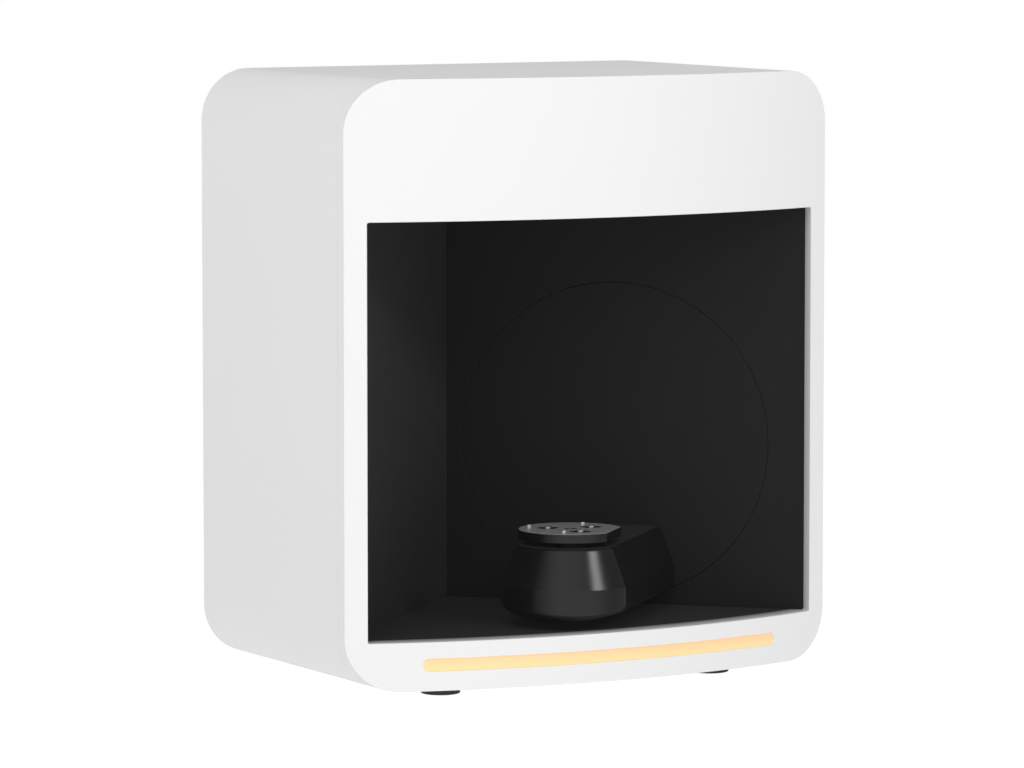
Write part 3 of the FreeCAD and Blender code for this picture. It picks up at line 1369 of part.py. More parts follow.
def make_switch():
    half = s.switch_width / 2
    tall = s.switch_height / 2
    border = s.switch_border
    bay_half = half - s.switch_wall
    bay_tall = tall - s.switch_wall
    frame = Piece("switch_frame")
    frame.pad("XZ", PANEL_BACK - s.switch_depth, s.switch_depth, rectangle(-half, half, -tall, tall))
    frame.pad(
        "XZ", PANEL_BACK, s.switch_bezel,
        rectangle(-half - border, half + border, -tall - border, tall + border),
    )
    bay_depth = s.switch_depth - s.switch_floor
    frame.cut(
        "XZ", PANEL_BACK - bay_depth, bay_depth + s.cut_overrun,
        rectangle(-bay_half, bay_half, -bay_tall, bay_tall),
    )
    pivot_y = PANEL_BACK - s.rocker_root
    pivot = circle(pivot_y, ZERO, s.rocker_pin_radius + s.running_gap)
    frame.cut("YZ", -half - s.cut_overrun, s.switch_width + s.cut_overrun * 2, pivot)
    node(place(frame.body, SWITCH_X, ZERO, SOCKET_Z))

    rocker = Piece("power_rocker")
    wide = bay_half - s.rocker_gap
    high = bay_tall - s.rocker_swing_gap
    crown = s.rocker_root + s.rocker_crown
    dip = s.rocker_root + s.rocker_dip
    heel = high - s.rocker_root
    rocker.pad("YZ", -wide, wide * 2, polygon(
        (-s.rocker_root, -heel), (crown, -high), (dip, ZERO), (crown, high), (-s.rocker_root, heel),
    ))
    pin = half - s.rocker_gap
    rocker.pad("YZ", -pin, pin * 2, circle(ZERO, ZERO, s.rocker_pin_radius))
    node(place(rocker.body, SWITCH_X, pivot_y, SOCKET_Z, s.rocker_tilt, Vector(1, 0, 0)))


make_outer_shell()
make_front_fascia()
make_light_strip()
make_chassis()
make_rear_panel()
make_chamber()
make_swing_drive()
make_arm()
make_turntable()
make_optics()
make_board()
make_fan()
make_sockets()
make_switch()
doc.recompute()

failed = [item.Label for item in doc.Objects if {"Invalid", "Error"} & set(item.State)]
if failed:
    raise RuntimeError(f"these objects did not build: {', '.join(failed)}")
for item in nodes:
    if item.Shape.isNull() or not item.Shape.isValid():
        raise RuntimeError(f"{item.Label} has no valid shape")
os.makedirs("parts", exist_ok=True)
for item in nodes:
    item.Shape.exportStep(f"parts/{item.Label}.step")
    box = item.Shape.BoundBox
    print(f"{item.Label}: {len(item.Shape.Solids)} solids, {item.Shape.Volume:.0f} mm3, "
          f"X {box.XMin:.1f} to {box.XMax:.1f}, Y {box.YMin:.1f} to {box.YMax:.1f}, "
          f"Z {box.ZMin:.1f} to {box.ZMax:.1f}")
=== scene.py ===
"""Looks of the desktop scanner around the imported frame: finishes, fittings, stage and camera."""

import math

import bmesh
import bpy
from mathutils import Matrix, Vector


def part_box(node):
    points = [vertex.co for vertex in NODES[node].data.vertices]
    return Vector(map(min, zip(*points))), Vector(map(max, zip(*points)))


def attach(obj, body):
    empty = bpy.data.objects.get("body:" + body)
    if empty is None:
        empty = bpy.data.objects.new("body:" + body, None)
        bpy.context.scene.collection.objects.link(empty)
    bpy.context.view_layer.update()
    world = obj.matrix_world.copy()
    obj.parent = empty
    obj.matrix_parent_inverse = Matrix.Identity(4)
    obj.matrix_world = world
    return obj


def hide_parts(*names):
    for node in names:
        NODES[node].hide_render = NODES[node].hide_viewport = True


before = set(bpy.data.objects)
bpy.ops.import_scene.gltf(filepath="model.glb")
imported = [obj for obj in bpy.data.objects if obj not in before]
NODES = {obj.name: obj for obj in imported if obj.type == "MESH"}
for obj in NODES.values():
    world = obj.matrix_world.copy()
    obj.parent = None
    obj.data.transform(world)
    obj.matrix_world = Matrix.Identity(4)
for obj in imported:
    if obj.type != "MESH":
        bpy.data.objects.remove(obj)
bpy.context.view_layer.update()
MM = 0.001
DIAGONAL = math.sqrt(0.5)

# Places in the machine's own frame, in metres
TURN_X, TURN_Y = -0.00357, -0.06897
TURN_AXIS = Vector((TURN_X, TURN_Y, 0))
SWING_AXIS = (DIAGONAL, DIAGONAL, 0)
PLATE_TOP = 0.10335
REAR_FACE = 0.1179
BOW_RADIUS, BOW_FRONT = 0.49908, -0.1229
OPENING_HALF, OPENING_MIDDLE, OPENING_RISE = 0.1689, 0.1771, 0.13755
GUIDE_RUN, GUIDE_BAND, GUIDE_RIM = (-0.10, 0.14), (0.0215, 0.0281), (0.0274, 0.0288)
REAR_SIDE, REAR_SIDE_HEIGHTS = 0.17635, (0.10725, 0.20725, 0.30725)
REAR_END, REAR_END_HEIGHTS = 0.09155, (0.014, 0.4005)
FOOT_SIDE, FOOT_FRONT, FOOT_REAR = 0.1034, -0.0711, 0.0989
PORT_HEIGHT, USB_SIDE = 0.05925, -0.092
ROCKER_PIVOT = Vector((-0.144, 0.1159, PORT_HEIGHT))
ROCKER_TILT = math.radians(7)
PROJECTOR_HEIGHT = 0.32305
LEFT_LENS, RIGHT_LENS, LENS_HEIGHT = -0.07379, 0.06665, 0.33568
LENS_LEAN, LENS_DROP = 0.3256, -0.9455

# Surfaces: HAZE is the glow that stands for stray light on black, grain is counted per metre
WHITE_LIGHT = (1, 1, 1, 1)
HAZE = 0.004
WHITE_SHEEN, SHEEN_ROUGHNESS = 0.06, 0.3
PLASTIC_GRAIN, COAT_GRAIN, FINE_GRAIN = 1800, 1100, 1500
GRAIN_DEPTH, FINE_DEPTH = 0.02 * MM, 0.01 * MM
SMOOTH_ANGLE = 40


# Finishes


class Nodes:
    """A shader node tree, built up node by node."""

    def __init__(self, tree):
        self.tree = tree
        tree.nodes.clear()

    def node(self, kind, **settings):
        made = self.tree.nodes.new(kind)
        for key, value in settings.items():
            setattr(made, key, value)
        return made

    def link(self, source, target):
        self.tree.links.new(source, target)

    def maths(self, operation, *terms):
        made = self.node("ShaderNodeMath", operation=operation)
        for i, term in enumerate(terms):
            if isinstance(term, (int, float)):
                made.inputs[i].default_value = term
            else:
                self.link(term, made.inputs[i])
        return made.outputs["Value"]

    def vectors(self, operation, vector, fixed=(0, 0, 0)):
        """The result for a vector and a fixed one: a number for a length or a dot product."""
        made = self.node("ShaderNodeVectorMath", operation=operation)
        made.inputs[1].default_value = fixed
        self.link(vector, made.inputs[0])
        return made.outputs["Value" if operation in ("LENGTH", "DOT_PRODUCT") else "Vector"]

    def spread(self, factor, low, high, start=0.0, end=1.0, kind="LINEAR"):
        """Maps the range from start to end onto the range from low to high, and stops there."""
        span = self.node("ShaderNodeMapRange", interpolation_type=kind)
        settings = {"From Min": start, "From Max": end, "To Min": low, "To Max": high}
        for key, value in settings.items():
            span.inputs[key].default_value = value
        self.link(factor, span.inputs["Value"])
        return span.outputs["Result"]


class Finish(Nodes):
    """A node material measured in the piece's own metres, around one Principled shader."""

    def __init__(self, name, roughness, metallic=0.0, specular=0.5, sheen=0.0, glow=0.0):
        self.material = bpy.data.materials.new(name)
        self.material.use_nodes = True
        super().__init__(self.material.node_tree)
        self.shader = self.node("ShaderNodeBsdfPrincipled")
        output = self.node("ShaderNodeOutputMaterial")
        self.link(self.shader.outputs["BSDF"], output.inputs["Surface"])
        self.place = self.node("ShaderNodeTexCoord").outputs["Object"]
        self.height = None
        self.set(**{
            "Roughness": roughness, "Metallic": metallic, "Specular IOR Level": specular,
            "Sheen Weight": sheen, "Sheen Roughness": SHEEN_ROUGHNESS,
            "Emission Color": WHITE_LIGHT, "Emission Strength": glow,
        })

    def set(self, **values):
        for key, value in values.items():
            self.shader.inputs[key].default_value = value

    def axes(self):
        """The place's X, Y and Z as three numbers."""
        parts = self.node("ShaderNodeSeparateXYZ")
        self.link(self.place, parts.inputs["Vector"])
        return [parts.outputs[axis] for axis in "XYZ"]

    def moved(self, offset=(0, 0, 0), scale=(1, 1, 1)):
        mapping = self.node("ShaderNodeMapping", vector_type="POINT")
        mapping.inputs["Location"].default_value = offset
        mapping.inputs["Scale"].default_value = scale
        self.link(self.place, mapping.inputs["Vector"])
        return mapping.outputs["Vector"]

    def noise(self, scale, detail=2.0, place=None):
        texture = self.node("ShaderNodeTexNoise")
        texture.inputs["Scale"].default_value = scale
        texture.inputs["Detail"].default_value = detail
        self.link(place or self.place, texture.inputs["Vector"])
        return texture.outputs["Fac"]

    def cell_walls(self, scale, place):
        texture = self.node("ShaderNodeTexVoronoi", feature="DISTANCE_TO_EDGE")
        texture.inputs["Scale"].default_value = scale
        self.link(place, texture.inputs["Vector"])
        return texture.outputs["Distance"]

    def wave(self, scale, kind, warp=0.0, place=None):
        """Rings or bands about the Z axis."""
        texture = self.node("ShaderNodeTexWave", wave_type=kind)
        setattr(texture, f"{kind.lower()}_direction", "Z")
        texture.inputs["Scale"].default_value = scale
        texture.inputs["Distortion"].default_value = warp
        self.link(place or self.place, texture.inputs["Vector"])
        return texture.outputs["Fac"]

    def ramp(self, factor, stops):
        ramp = self.node("ShaderNodeValToRGB")
        while len(ramp.color_ramp.elements) < len(stops):
            ramp.color_ramp.elements.new(0.5)
        for element, (position, colour) in zip(ramp.color_ramp.elements, stops):
            element.position = position
            element.color = (*colour, 1)
        self.link(factor, ramp.inputs["Fac"])
        return ramp.outputs["Color"]

    def tone(self, factor, first, second, low=0.35, high=0.65):
        colour = self.ramp(factor, [(low, first), (high, second)])
        self.link(colour, self.shader.inputs["Base Color"])

    def polish(self, factor, low, high):
        self.link(self.spread(factor, low, high, 0.25, 0.75), self.shader.inputs["Roughness"])

    def relief(self, factor, depth, strength=1.0):
        bump = self.node("ShaderNodeBump")
        bump.inputs["Strength"].default_value = strength
        bump.inputs["Distance"].default_value = depth
        self.link(factor, bump.inputs["Height"])
        if self.height:
            self.link(self.height, bump.inputs["Normal"])
        self.height = bump.outputs["Normal"]
        self.link(self.height, self.shader.inputs["Normal"])


def near(colour, change):
    """The colour, and the same a little lighter."""
    return colour, tuple(min(1.0, channel * (1 + change)) for channel in colour)


def textured(made, roughness, grain, depth, drift):
    """Gives a moulded or coated surface its uneven gloss, soft orange peel and fine grain."""
    made.polish(made.noise(drift * 8, 3), roughness - 0.03, roughness + 0.03)
    made.relief(made.noise(grain), depth)
    made.relief(made.noise(grain / 8), depth, 0.4)
    return made.material


def moulded(
    name, colour, roughness, grain=PLASTIC_GRAIN, depth=GRAIN_DEPTH, change=0.02, specular=0.5,
    drift=6, sheen=0.0, haze=0.0,
):
    """Injection-moulded or powder-coated surface with a faint drift of tone."""
    made = Finish(name, roughness, specular=specular, sheen=sheen, glow=haze)
    made.tone(made.noise(drift), *near(colour, change))
    return textured(made, roughness, grain, depth, drift)


def fascia_white(name, colour, dark, roughness):
    """Moulded white with painted shade, which deepens it to grey down the opening's returns, where
    less light falls.
    """
    made = Finish(name, roughness, specular=0.25, sheen=WHITE_SHEEN)
    x, y, z = made.axes()
    squared = made.maths("MULTIPLY", x, x)
    chord = made.maths("SQRT", made.maths("SUBTRACT", BOW_RADIUS * BOW_RADIUS, squared))
    depth = made.maths("ADD", made.maths("SUBTRACT", y, BOW_FRONT + BOW_RADIUS), chord)
    off_side = made.maths("SUBTRACT", OPENING_HALF, made.maths("ABSOLUTE", x))
    off_middle = made.maths("ABSOLUTE", made.maths("SUBTRACT", z, OPENING_MIDDLE))
    inside = made.maths("MINIMUM", off_side, made.maths("SUBTRACT", OPENING_RISE, off_middle))
    within = made.maths("GREATER_THAN", inside, -0.5 * MM)
    # Painted shade: greyer with depth down the returns, from the front edge to 15 mm in
    shade = made.maths("MULTIPLY", made.spread(depth, 0.12, 1.0, 0.3 * MM, 15 * MM), within)
    drift = made.spread(made.noise(6), 0.0, 0.012)
    made.tone(made.maths("ADD", shade, drift), colour, dark, 0.0, 1.0)
    return textured(made, roughness, PLASTIC_GRAIN, GRAIN_DEPTH, 6)


def swing_black(name, colour, edge, roughness, haze):
    """Black powder coat with painted light: a paler thin ring on the edges around the swing disc,
    which lightens the shaded gap there.
    """
    made = Finish(name, roughness, specular=0.2, glow=haze)
    low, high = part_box("swing_disc")
    radius = (high[2] - low[2]) / 2
    middle = Vector([(first + last) / 2 for first, last in zip(low, high)])
    across = made.vectors("CROSS_PRODUCT", made.moved(offset=-middle), SWING_AXIS)
    past_rim = made.maths("SUBTRACT", made.vectors("LENGTH", across), radius + 0.2 * MM)
    # Painted light: paler within a thin ring about the disc's rim, on the disc and its wall alike
    painted_light_mask = made.spread(made.maths("ABSOLUTE", past_rim), 1.0, 0.0, 0.3 * MM, 0.55 * MM)
    drift = made.spread(made.noise(6), 0.0, 0.03)
    made.tone(made.maths("ADD", painted_light_mask, drift), colour, edge, 0.0, 1.0)
    return textured(made, roughness, COAT_GRAIN, GRAIN_DEPTH, 6)


def arm_black(name, colour, top, roughness, haze):
    """Satin black moulding whose flat top is a little paler, as painted light where it shows under
    the plate.
    """
    made = Finish(name, roughness, specular=0.37, glow=haze)
    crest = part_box("arm_cover")[1][2]
    height = made.axes()[2]
    # Painted light: the top face, within half a millimetre of the crest, goes paler
    painted_light_mask = made.spread(height, 0.0, 0.97, crest - 0.5 * MM, crest - 0.1 * MM)
    drift = made.spread(made.noise(30, 3), 0.0, 0.03)
    made.tone(made.maths("ADD", painted_light_mask, drift), colour, top, 0.0, 1.0)
    return textured(made, roughness, 2200, 0.0005 * MM, 6)


def machined(name, colour, roughness, across=(1, 1, 1), line=900, change=0.12):
    """Bare or anodised metal with the fine lines of brushing or turning."""
    made = Finish(name, roughness, metallic=1.0)
    stretched = made.moved(scale=across)
    lines = made.noise(line, 3, stretched)
    made.tone(lines, *near(colour, change))
    made.polish(made.noise(line / 4, 3, stretched), roughness - 0.07, roughness + 0.07)
    made.relief(lines, FINE_DEPTH)
    return made.material


def turned(name, face, rim, roughness, pitch, depth):
    """Black-finished disc whose face is a paler grey, with concentric tool marks; the paler face is
    painted light, for the bright gloss of its top.
    """
    made = Finish(name, roughness, specular=0.36)
    rings = made.wave(1 / pitch, "RINGS", 0.3, made.moved(offset=-TURN_AXIS))
    height = made.axes()[2]
    # Painted light: the top face is grey and the rim black
    painted_light_face = made.spread(height, 0.0, 0.94, PLATE_TOP - 0.3 * MM, PLATE_TOP - 0.1 * MM)
    drift = made.spread(made.noise(60, 3), 0.95, 1.0)
    made.tone(made.maths("MULTIPLY", painted_light_face, drift), rim, face, 0.0, 1.0)
    made.polish(made.noise(400, 3), roughness - 0.05, roughness + 0.05)
    made.relief(rings, depth)
    return made.material


def glowing(name):
    """Frosted light guide, pale warm yellow below and deeper towards its top rim and far end."""
    made = Finish(name, 0.35, glow=0.93)
    x, _, z = made.axes()
    height = made.spread(z, 0.0, 0.62, *GUIDE_BAND)
    rim = made.spread(z, 0.0, 0.38, *GUIDE_RIM)
    along = made.spread(x, 0.0, 0.40, *GUIDE_RUN)
    mottle = made.spread(made.noise(90, 3), -0.05, 0.05)
    blush = made.maths("ADD", made.maths("ADD", height, rim), made.maths("ADD", along, mottle))
    colour = made.ramp(blush, [
        (0.0, (1.0, 0.80, 0.41)), (0.5, (1.0, 0.735, 0.395)), (1.0, (0.985, 0.645, 0.37)),
    ])
    made.set(**{"Base Color": (0.06, 0.05, 0.02, 1)})
    made.link(colour, made.shader.inputs["Emission Color"])
    made.relief(made.noise(FINE_GRAIN), FINE_DEPTH)
    return made.material


def circuit_board(name):
    """Green solder mask with fine raised tracks and a faint weave."""
    made = Finish(name, 0.35)
    line = made.spread(made.cell_walls(160, made.moved(scale=(1, 1, 2))), 1.0, 0.0, 0.03, 0.06)
    made.tone(line, (0.010, 0.055, 0.022), (0.020, 0.110, 0.045), 0.4, 0.6)
    made.polish(made.noise(300), 0.28, 0.42)
    made.relief(line, 0.03 * MM)
    made.relief(made.noise(FINE_GRAIN), FINE_DEPTH)
    return made.material


def clear_glass(name, roughness):
    """Coated glass with a trace of dust in its gloss."""
    made = Finish(name, roughness)
    made.set(**{"Transmission Weight": 1.0, "IOR": 1.5})
    made.tone(made.noise(20), (0.95, 0.97, 0.96), (0.98, 0.99, 0.98))
    made.polish(made.noise(200, 4), roughness, roughness + 0.06)
    return made.material


def belt_rubber(name):
    """Black rubber with fine ridges across the belt."""
    made = Finish(name, 0.6)
    made.tone(made.noise(200), (0.012, 0.012, 0.012), (0.020, 0.020, 0.020))
    made.polish(made.noise(300), 0.55, 0.7)
    made.relief(made.wave(160, "BANDS"), 0.3 * MM)
    return made.material


PALE = (0.82, 0.82, 0.818)
WHITE = moulded("white_abs", PALE, 0.45, change=0.012, specular=0.25, sheen=WHITE_SHEEN)
# The fascia's dark grey is the colour of its painted shade down the opening's returns
FASCIA_WHITE = fascia_white("fascia_white_abs", PALE, (0.20, 0.20, 0.199), 0.45)
COAT = {"roughness": 0.62, "grain": COAT_GRAIN, "specular": 0.25, "change": 0.10}
BLACK_SHEET = moulded("black_powder_coat", (0.022, 0.022, 0.0215), **COAT)
# The chamber's left wall, floor and swing wall are copies of one black coat, toned for painted
# light and shade: the left wall paler, the swing wall and disc darker. HAZE adds a painted glow of
# stray light to them and to the arm.
BLACK_LEFT_PAINTED_LIGHT = moulded("black_powder_coat_left_painted_light", (0.0275, 0.0275, 0.027), haze=HAZE, **COAT)
BLACK_FLOOR = moulded("black_powder_coat_floor", (0.021, 0.021, 0.0204), haze=HAZE * 1.5, **COAT)
BLACK_SWING_PAINTED_SHADE = swing_black(
    "black_powder_coat_swing_painted_shade", (0.0072, 0.0072, 0.007), (0.016, 0.016, 0.0155), 0.62, HAZE,
)
ARM_BLACK = arm_black(
    "arm_satin_black", (0.0045, 0.0045, 0.0045), (0.034, 0.034, 0.0336), 0.24, HAZE * 0.8,
)
PORT_BLACK = moulded("port_black", (0.014, 0.014, 0.015), 0.42, 2200, change=0.1)
RUBBER = moulded(
    "foot_rubber", (0.020, 0.020, 0.020), 0.62, FINE_GRAIN, 0.04 * MM, change=0.2, drift=60,
)
GREY_SHEET = moulded(
    "grey_powder_coat", (0.40, 0.41, 0.42), 0.5, COAT_GRAIN, 0.05 * MM, change=0.03,
)
CHANNEL = moulded("channel_white", (0.70, 0.68, 0.62), 0.5, change=0.03)
LED_WHITE = moulded("led_phosphor", (0.80, 0.66, 0.22), 0.4, 900, change=0.1, drift=200)
CHIP = moulded("chip_epoxy", (0.022, 0.022, 0.024), 0.5, 3000, change=0.15, drift=80)
MARK_WHITE = moulded("mark_ink", (0.75, 0.75, 0.74), 0.45, 3000, change=0.03, drift=300)
STEEL = machined("steel", (0.60, 0.60, 0.59), 0.28, (1, 1, 6))
SCREW_STEEL = machined("zinc_plated_steel", (0.52, 0.53, 0.54), 0.32, (1, 1, 1), 1500)
ALUMINIUM = machined("brushed_aluminium", (0.66, 0.66, 0.67), 0.34, (1, 1, 12))
DARK_METAL = machined("black_anodised", (0.045, 0.045, 0.048), 0.38, (1, 1, 1), 2000, change=0.25)
LENS_BARREL = moulded("lens_barrel", (0.008, 0.008, 0.009), 0.35, 2500, change=0.2)
TABLE = turned(
    "dark_turned_plate", (0.32, 0.32, 0.323), (0.009, 0.009, 0.009), 0.22, 0.9 * MM, 0.001 * MM,
)
PIN_STEEL = machined("ground_pin_steel", (0.88, 0.88, 0.87), 0.55, (1, 1, 6))
STUD_STEEL = machined("stud_steel", (0.72, 0.72, 0.71), 0.5, (1, 1, 6))
MAGNET_BLACK = moulded(
    "magnet_epoxy", (0.010, 0.010, 0.010), 0.45, 2500, 0.004 * MM, change=0.15, drift=150,
)
GOLD = machined("gold_contacts", (0.80, 0.56, 0.22), 0.25, (1, 4, 1), 1500)
GLASS = clear_glass("window_glass", 0.02)
LENS_GLASS = clear_glass("lens_glass", 0.0)
GUIDE = glowing("light_guide_glow")
BOARD = circuit_board("solder_mask")
BELT = belt_rubber("belt_rubber_black")

FINISHES = {
    "white_plastic": WHITE,
    "black_sheet": BLACK_SHEET,
    "black_plastic": PORT_BLACK,
    "light_guide": GUIDE,
    "light_parts": CHANNEL,
    "leds": LED_WHITE,
    "board": BOARD,
    "rubber": RUBBER,
    "steel": STEEL,
    "grey_sheet": GREY_SHEET,
    "glass": GLASS,
    "aluminium": ALUMINIUM,
    "dark_aluminium": DARK_METAL,
    "lens_black": LENS_BARREL,
    "belt_rubber": BELT,
    "plate_grey": TABLE,
    "electronics": CHIP,
}
for name, cad in NODES.items():
    for slot in cad.material_slots:
        slot.material = FINISHES[slot.material.name.split(".")[0]]
for name, finish in {
    "front_fascia": FASCIA_WHITE, "chamber_left_wall": BLACK_LEFT_PAINTED_LIGHT, "chamber_floor": BLACK_FLOOR,
    "chamber_swing_wall": BLACK_SWING_PAINTED_SHADE, "swing_disc": BLACK_SWING_PAINTED_SHADE,
    "arm_cover": ARM_BLACK, "arm_tray": ARM_BLACK, "turntable_hub": DARK_METAL,
    "locating_pins": PIN_STEEL, "magnet_studs": STUD_STEEL, "plate_magnets": MAGNET_BLACK,
}.items():
    NODES[name].material_slots[0].material = finish


# Rounded edges where the disc meets its wall


def ease(name, width):
    """Rounds a CAD node's sharp edges by a hair, as deburring leaves them."""
    cad = NODES[name]
    weld = cad.modifiers.new("weld", "WELD")
    weld.merge_threshold = 0.001 * MM
    flat = cad.modifiers.new("flat", "DECIMATE")
    flat.decimate_type = "DISSOLVE"
    flat.angle_limit = math.radians(0.3)
    bevel = cad.modifiers.new("bevel", "BEVEL")
    bevel.width = width
    bevel.segments = 2
    bevel.limit_method = "ANGLE"
    bevel.angle_limit = math.radians(35)
    bevel.use_clamp_overlap = True
    bevel.harden_normals = True


for name in ("swing_disc", "chamber_swing_wall"):
    ease(name, 0.3 * MM)


# Pieces built in mesh code


def piece(name, mesh, material, body, slot, *stands_for):
    """A visual piece on a body, with its material, in place of the CAD nodes it stands for. The
    slot argument is not used.
    """
    made = bpy.data.objects.new(name, mesh)
    bpy.context.scene.collection.objects.link(made)
    mesh.materials.clear()
    mesh.materials.append(material)
    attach(made, body)
    if stands_for:
        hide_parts(*stands_for)


def finished_mesh(name, shape, smooth=SMOOTH_ANGLE):
    """The bmesh as a mesh, smooth except over edges sharper than the given angle in degrees."""
    bmesh.ops.remove_doubles(shape, verts=shape.verts, dist=0.001 * MM)
    bmesh.ops.recalc_face_normals(shape, faces=shape.faces)
    for face in shape.faces:
        face.smooth = True
    mesh = bpy.data.meshes.new(name)
    shape.to_mesh(mesh)
    shape.free()
    mesh.set_sharp_from_angle(angle=math.radians(smooth))
    return mesh


def lathe(shape, profile, steps=48, matrix=Matrix.Identity(4)):
    """Adds the closed solid that a profile of (radius, height) makes when it turns round Z."""
    rings = []
    for radius, height in profile:
        ring = []
        for i in range(steps if radius else 1):
            turn = 2 * math.pi * i / steps
            point = Vector((radius * math.cos(turn), radius * math.sin(turn), height))
            ring.append(shape.verts.new(matrix @ point))
        rings.append(ring)
    for low, high in zip(rings, rings[1:]):
        for i in range(steps):
            j = i + 1
            corners = [
                low[i % len(low)], low[j % len(low)], high[j % len(high)], high[i % len(high)],
            ]
            corners = list(dict.fromkeys(corners))
            if len(corners) > 2:
                shape.faces.new(corners)


def prism(shape, outline, low, high, matrix=Matrix.Identity(4), top=1.0):
    """Adds a solid with a flat outline, from low to high along Z, its top end scaled."""
    bottom = [shape.verts.new(matrix @ Vector((x, y, low))) for x, y in outline]
    upper = [shape.verts.new(matrix @ Vector((x * top, y * top, high))) for x, y in outline]
    shape.faces.new(bottom[::-1])
    shape.faces.new(upper)
    for i in range(len(outline)):
        j = (i + 1) % len(outline)
        shape.faces.new([bottom[i], bottom[j], upper[j], upper[i]])


def carved(name, body, tool):
    """The mesh of one bmesh with another taken out of it."""
    parts = []
    for label, shape in (("body", body), ("tool", tool)):
        item = bpy.data.objects.new(f"{name}_{label}", finished_mesh(f"{name}_{label}", shape))
        bpy.context.scene.collection.objects.link(item)
        parts.append(item)
    cut = parts[0].modifiers.new("cut", "BOOLEAN")
    cut.operation = "DIFFERENCE"
    cut.solver = "EXACT"
    cut.object = parts[1]
    graph = bpy.context.evaluated_depsgraph_get()
    mesh = bpy.data.meshes.new_from_object(parts[0].evaluated_get(graph))
    for item in parts:
        bpy.data.objects.remove(item)
    mesh.set_sharp_from_angle(angle=math.radians(SMOOTH_ANGLE))
    return mesh


def copies(name, mesh, places):
    """One mesh that holds a copy at each place."""
    whole = bmesh.new()
    for place in places:
        single = mesh.copy()
        single.transform(place)
        whole.from_mesh(single)
        bpy.data.meshes.remove(single)
    made = bpy.data.meshes.new(name)
    whole.to_mesh(made)
    whole.free()
    return made


def screw(name, head_radius, head_height, shank_radius, shank_length, recess, depth, dome=0.35):
    """A screw whose domed head stands on the XY plane, with a recess and a threaded shank."""
    body = bmesh.new()
    profile = [(0, -shank_length), (shank_radius * 0.7, -shank_length)]
    pitch = shank_radius * 0.45
    turns = max(1, int((shank_length - 2 * pitch) / pitch))
    for i in range(turns):
        base = -shank_length + pitch * (i + 1)
        profile += [(shank_radius * 0.86, base), (shank_radius * 0.98, base + pitch * 0.5)]
    profile += [(shank_radius * 0.9, 0), (head_radius * 0.97, 0), (head_radius, head_height * 0.08)]
    shoulder = head_height * (1 - dome) * 0.8
    profile.append((head_radius, shoulder))
    steps = 6
    for i in range(1, steps + 1):
        turn = math.pi / 2 * i / steps
        profile.append((
            head_radius * (0.62 + 0.38 * math.cos(turn)),
            shoulder + (head_height - shoulder) * math.sin(turn),
        ))
    profile.append((0, head_height))
    lathe(body, profile)
    tool = bmesh.new()
    floor = head_height - depth
    if recess == "hex":
        # Turned a little, so that its corners keep clear of the head's own edges
        reach, angles = head_radius * 0.5, [math.radians(a) for a in range(4, 364, 60)]
        hexagon = [(reach * math.cos(a), reach * math.sin(a)) for a in angles]
        prism(tool, hexagon, floor, head_height * 1.5)
    else:
        arm, wide = head_radius * 0.60, head_radius * 0.12
        cross = [
            (arm, -wide), (arm, wide), (wide, wide), (wide, arm), (-wide, arm), (-wide, wide),
            (-arm, wide), (-arm, -wide), (-wide, -wide), (-wide, -arm), (wide, -arm), (wide, -wide),
        ]
        prism(tool, cross, floor, head_height * 1.2, top=1.25)
    return carved(name, body, tool)


def facing(point, direction, roll=0.0):
    """The placement that stands a piece's Z along a direction at a point."""
    turn = Vector(direction).to_track_quat("Z", "Y").to_matrix().to_4x4()
    return Matrix.Translation(point) @ turn @ Matrix.Rotation(roll, 4, "Z")


rear_places = []
for side in (-1, 1):
    rear_places += [(side * REAR_SIDE, height) for height in REAR_SIDE_HEIGHTS]
    rear_places += [(side * REAR_END, height) for height in REAR_END_HEIGHTS]
rear_screw = screw("rear_screw", 2.9 * MM, 1.6 * MM, 1.5 * MM, 4.0 * MM, "cross", 1.0 * MM)
rear_set = copies("rear_screw_set", rear_screw, [
    facing((x, REAR_FACE, z), (0, 1, 0), 0.7 * i) for i, (x, z) in enumerate(rear_places)
])
piece("rear_screw_set", rear_set, SCREW_STEEL, "housing", "steel", "rear_screws")

foot_places = [
    Vector((x, y, 0)) for x in (-FOOT_SIDE, FOOT_SIDE) for y in (FOOT_FRONT, FOOT_REAR)
]
foot_recess = Vector((0, 0, 2.4 * MM))
foot_screw = screw("foot_screw", 3.8 * MM, 2.0 * MM, 1.9 * MM, 11.5 * MM, "cross", 1.3 * MM)
foot_set = copies("foot_screw_set", foot_screw, [
    facing(place + foot_recess, (0, 0, -1), 0.9 * i) for i, place in enumerate(foot_places)
])
piece("foot_screw_set", foot_set, SCREW_STEEL, "housing", "steel", "foot_screws")

table_place = TURN_AXIS + Vector((0, 0, PLATE_TOP - 2 * MM))
table_screw = screw(
    "table_screw", 3.4 * MM, 1.95 * MM, 1.95 * MM, 11.8 * MM, "hex", 1.3 * MM, dome=0.2,
)
table_set = copies("table_screw_set", table_screw, [facing(table_place, (0, 0, 1), 0.3)])
piece("table_screw_set", table_set, SCREW_STEEL, "turntable", "steel", "centre_screw")

feet = bmesh.new()
for place in foot_places:
    lathe(feet, [
        (2.0 * MM, 7.25 * MM), (2.0 * MM, 2.4 * MM), (4.6 * MM, 2.4 * MM), (4.6 * MM, 0.5 * MM),
        (5.0 * MM, 0), (7.0 * MM, 0), (7.3 * MM, 0.6 * MM), (7.9 * MM, 0.6 * MM), (8.2 * MM, 0),
        (9.6 * MM, 0), (9.9 * MM, 0.6 * MM), (10.5 * MM, 0.6 * MM), (10.8 * MM, 0),
        (12.2 * MM, 0), (12.75 * MM, 0.18 * MM), (13.1 * MM, 0.6 * MM), (13.2 * MM, 1.2 * MM),
        (13.5 * MM, 6.7 * MM), (13.3 * MM, 7.1 * MM), (12.9 * MM, 7.25 * MM), (2.0 * MM, 7.25 * MM),
    ], 64, Matrix.Translation(place))
piece("foot_pads", finished_mesh("foot_pads", feet, 50), RUBBER, "housing", "rubber", "rubber_feet")

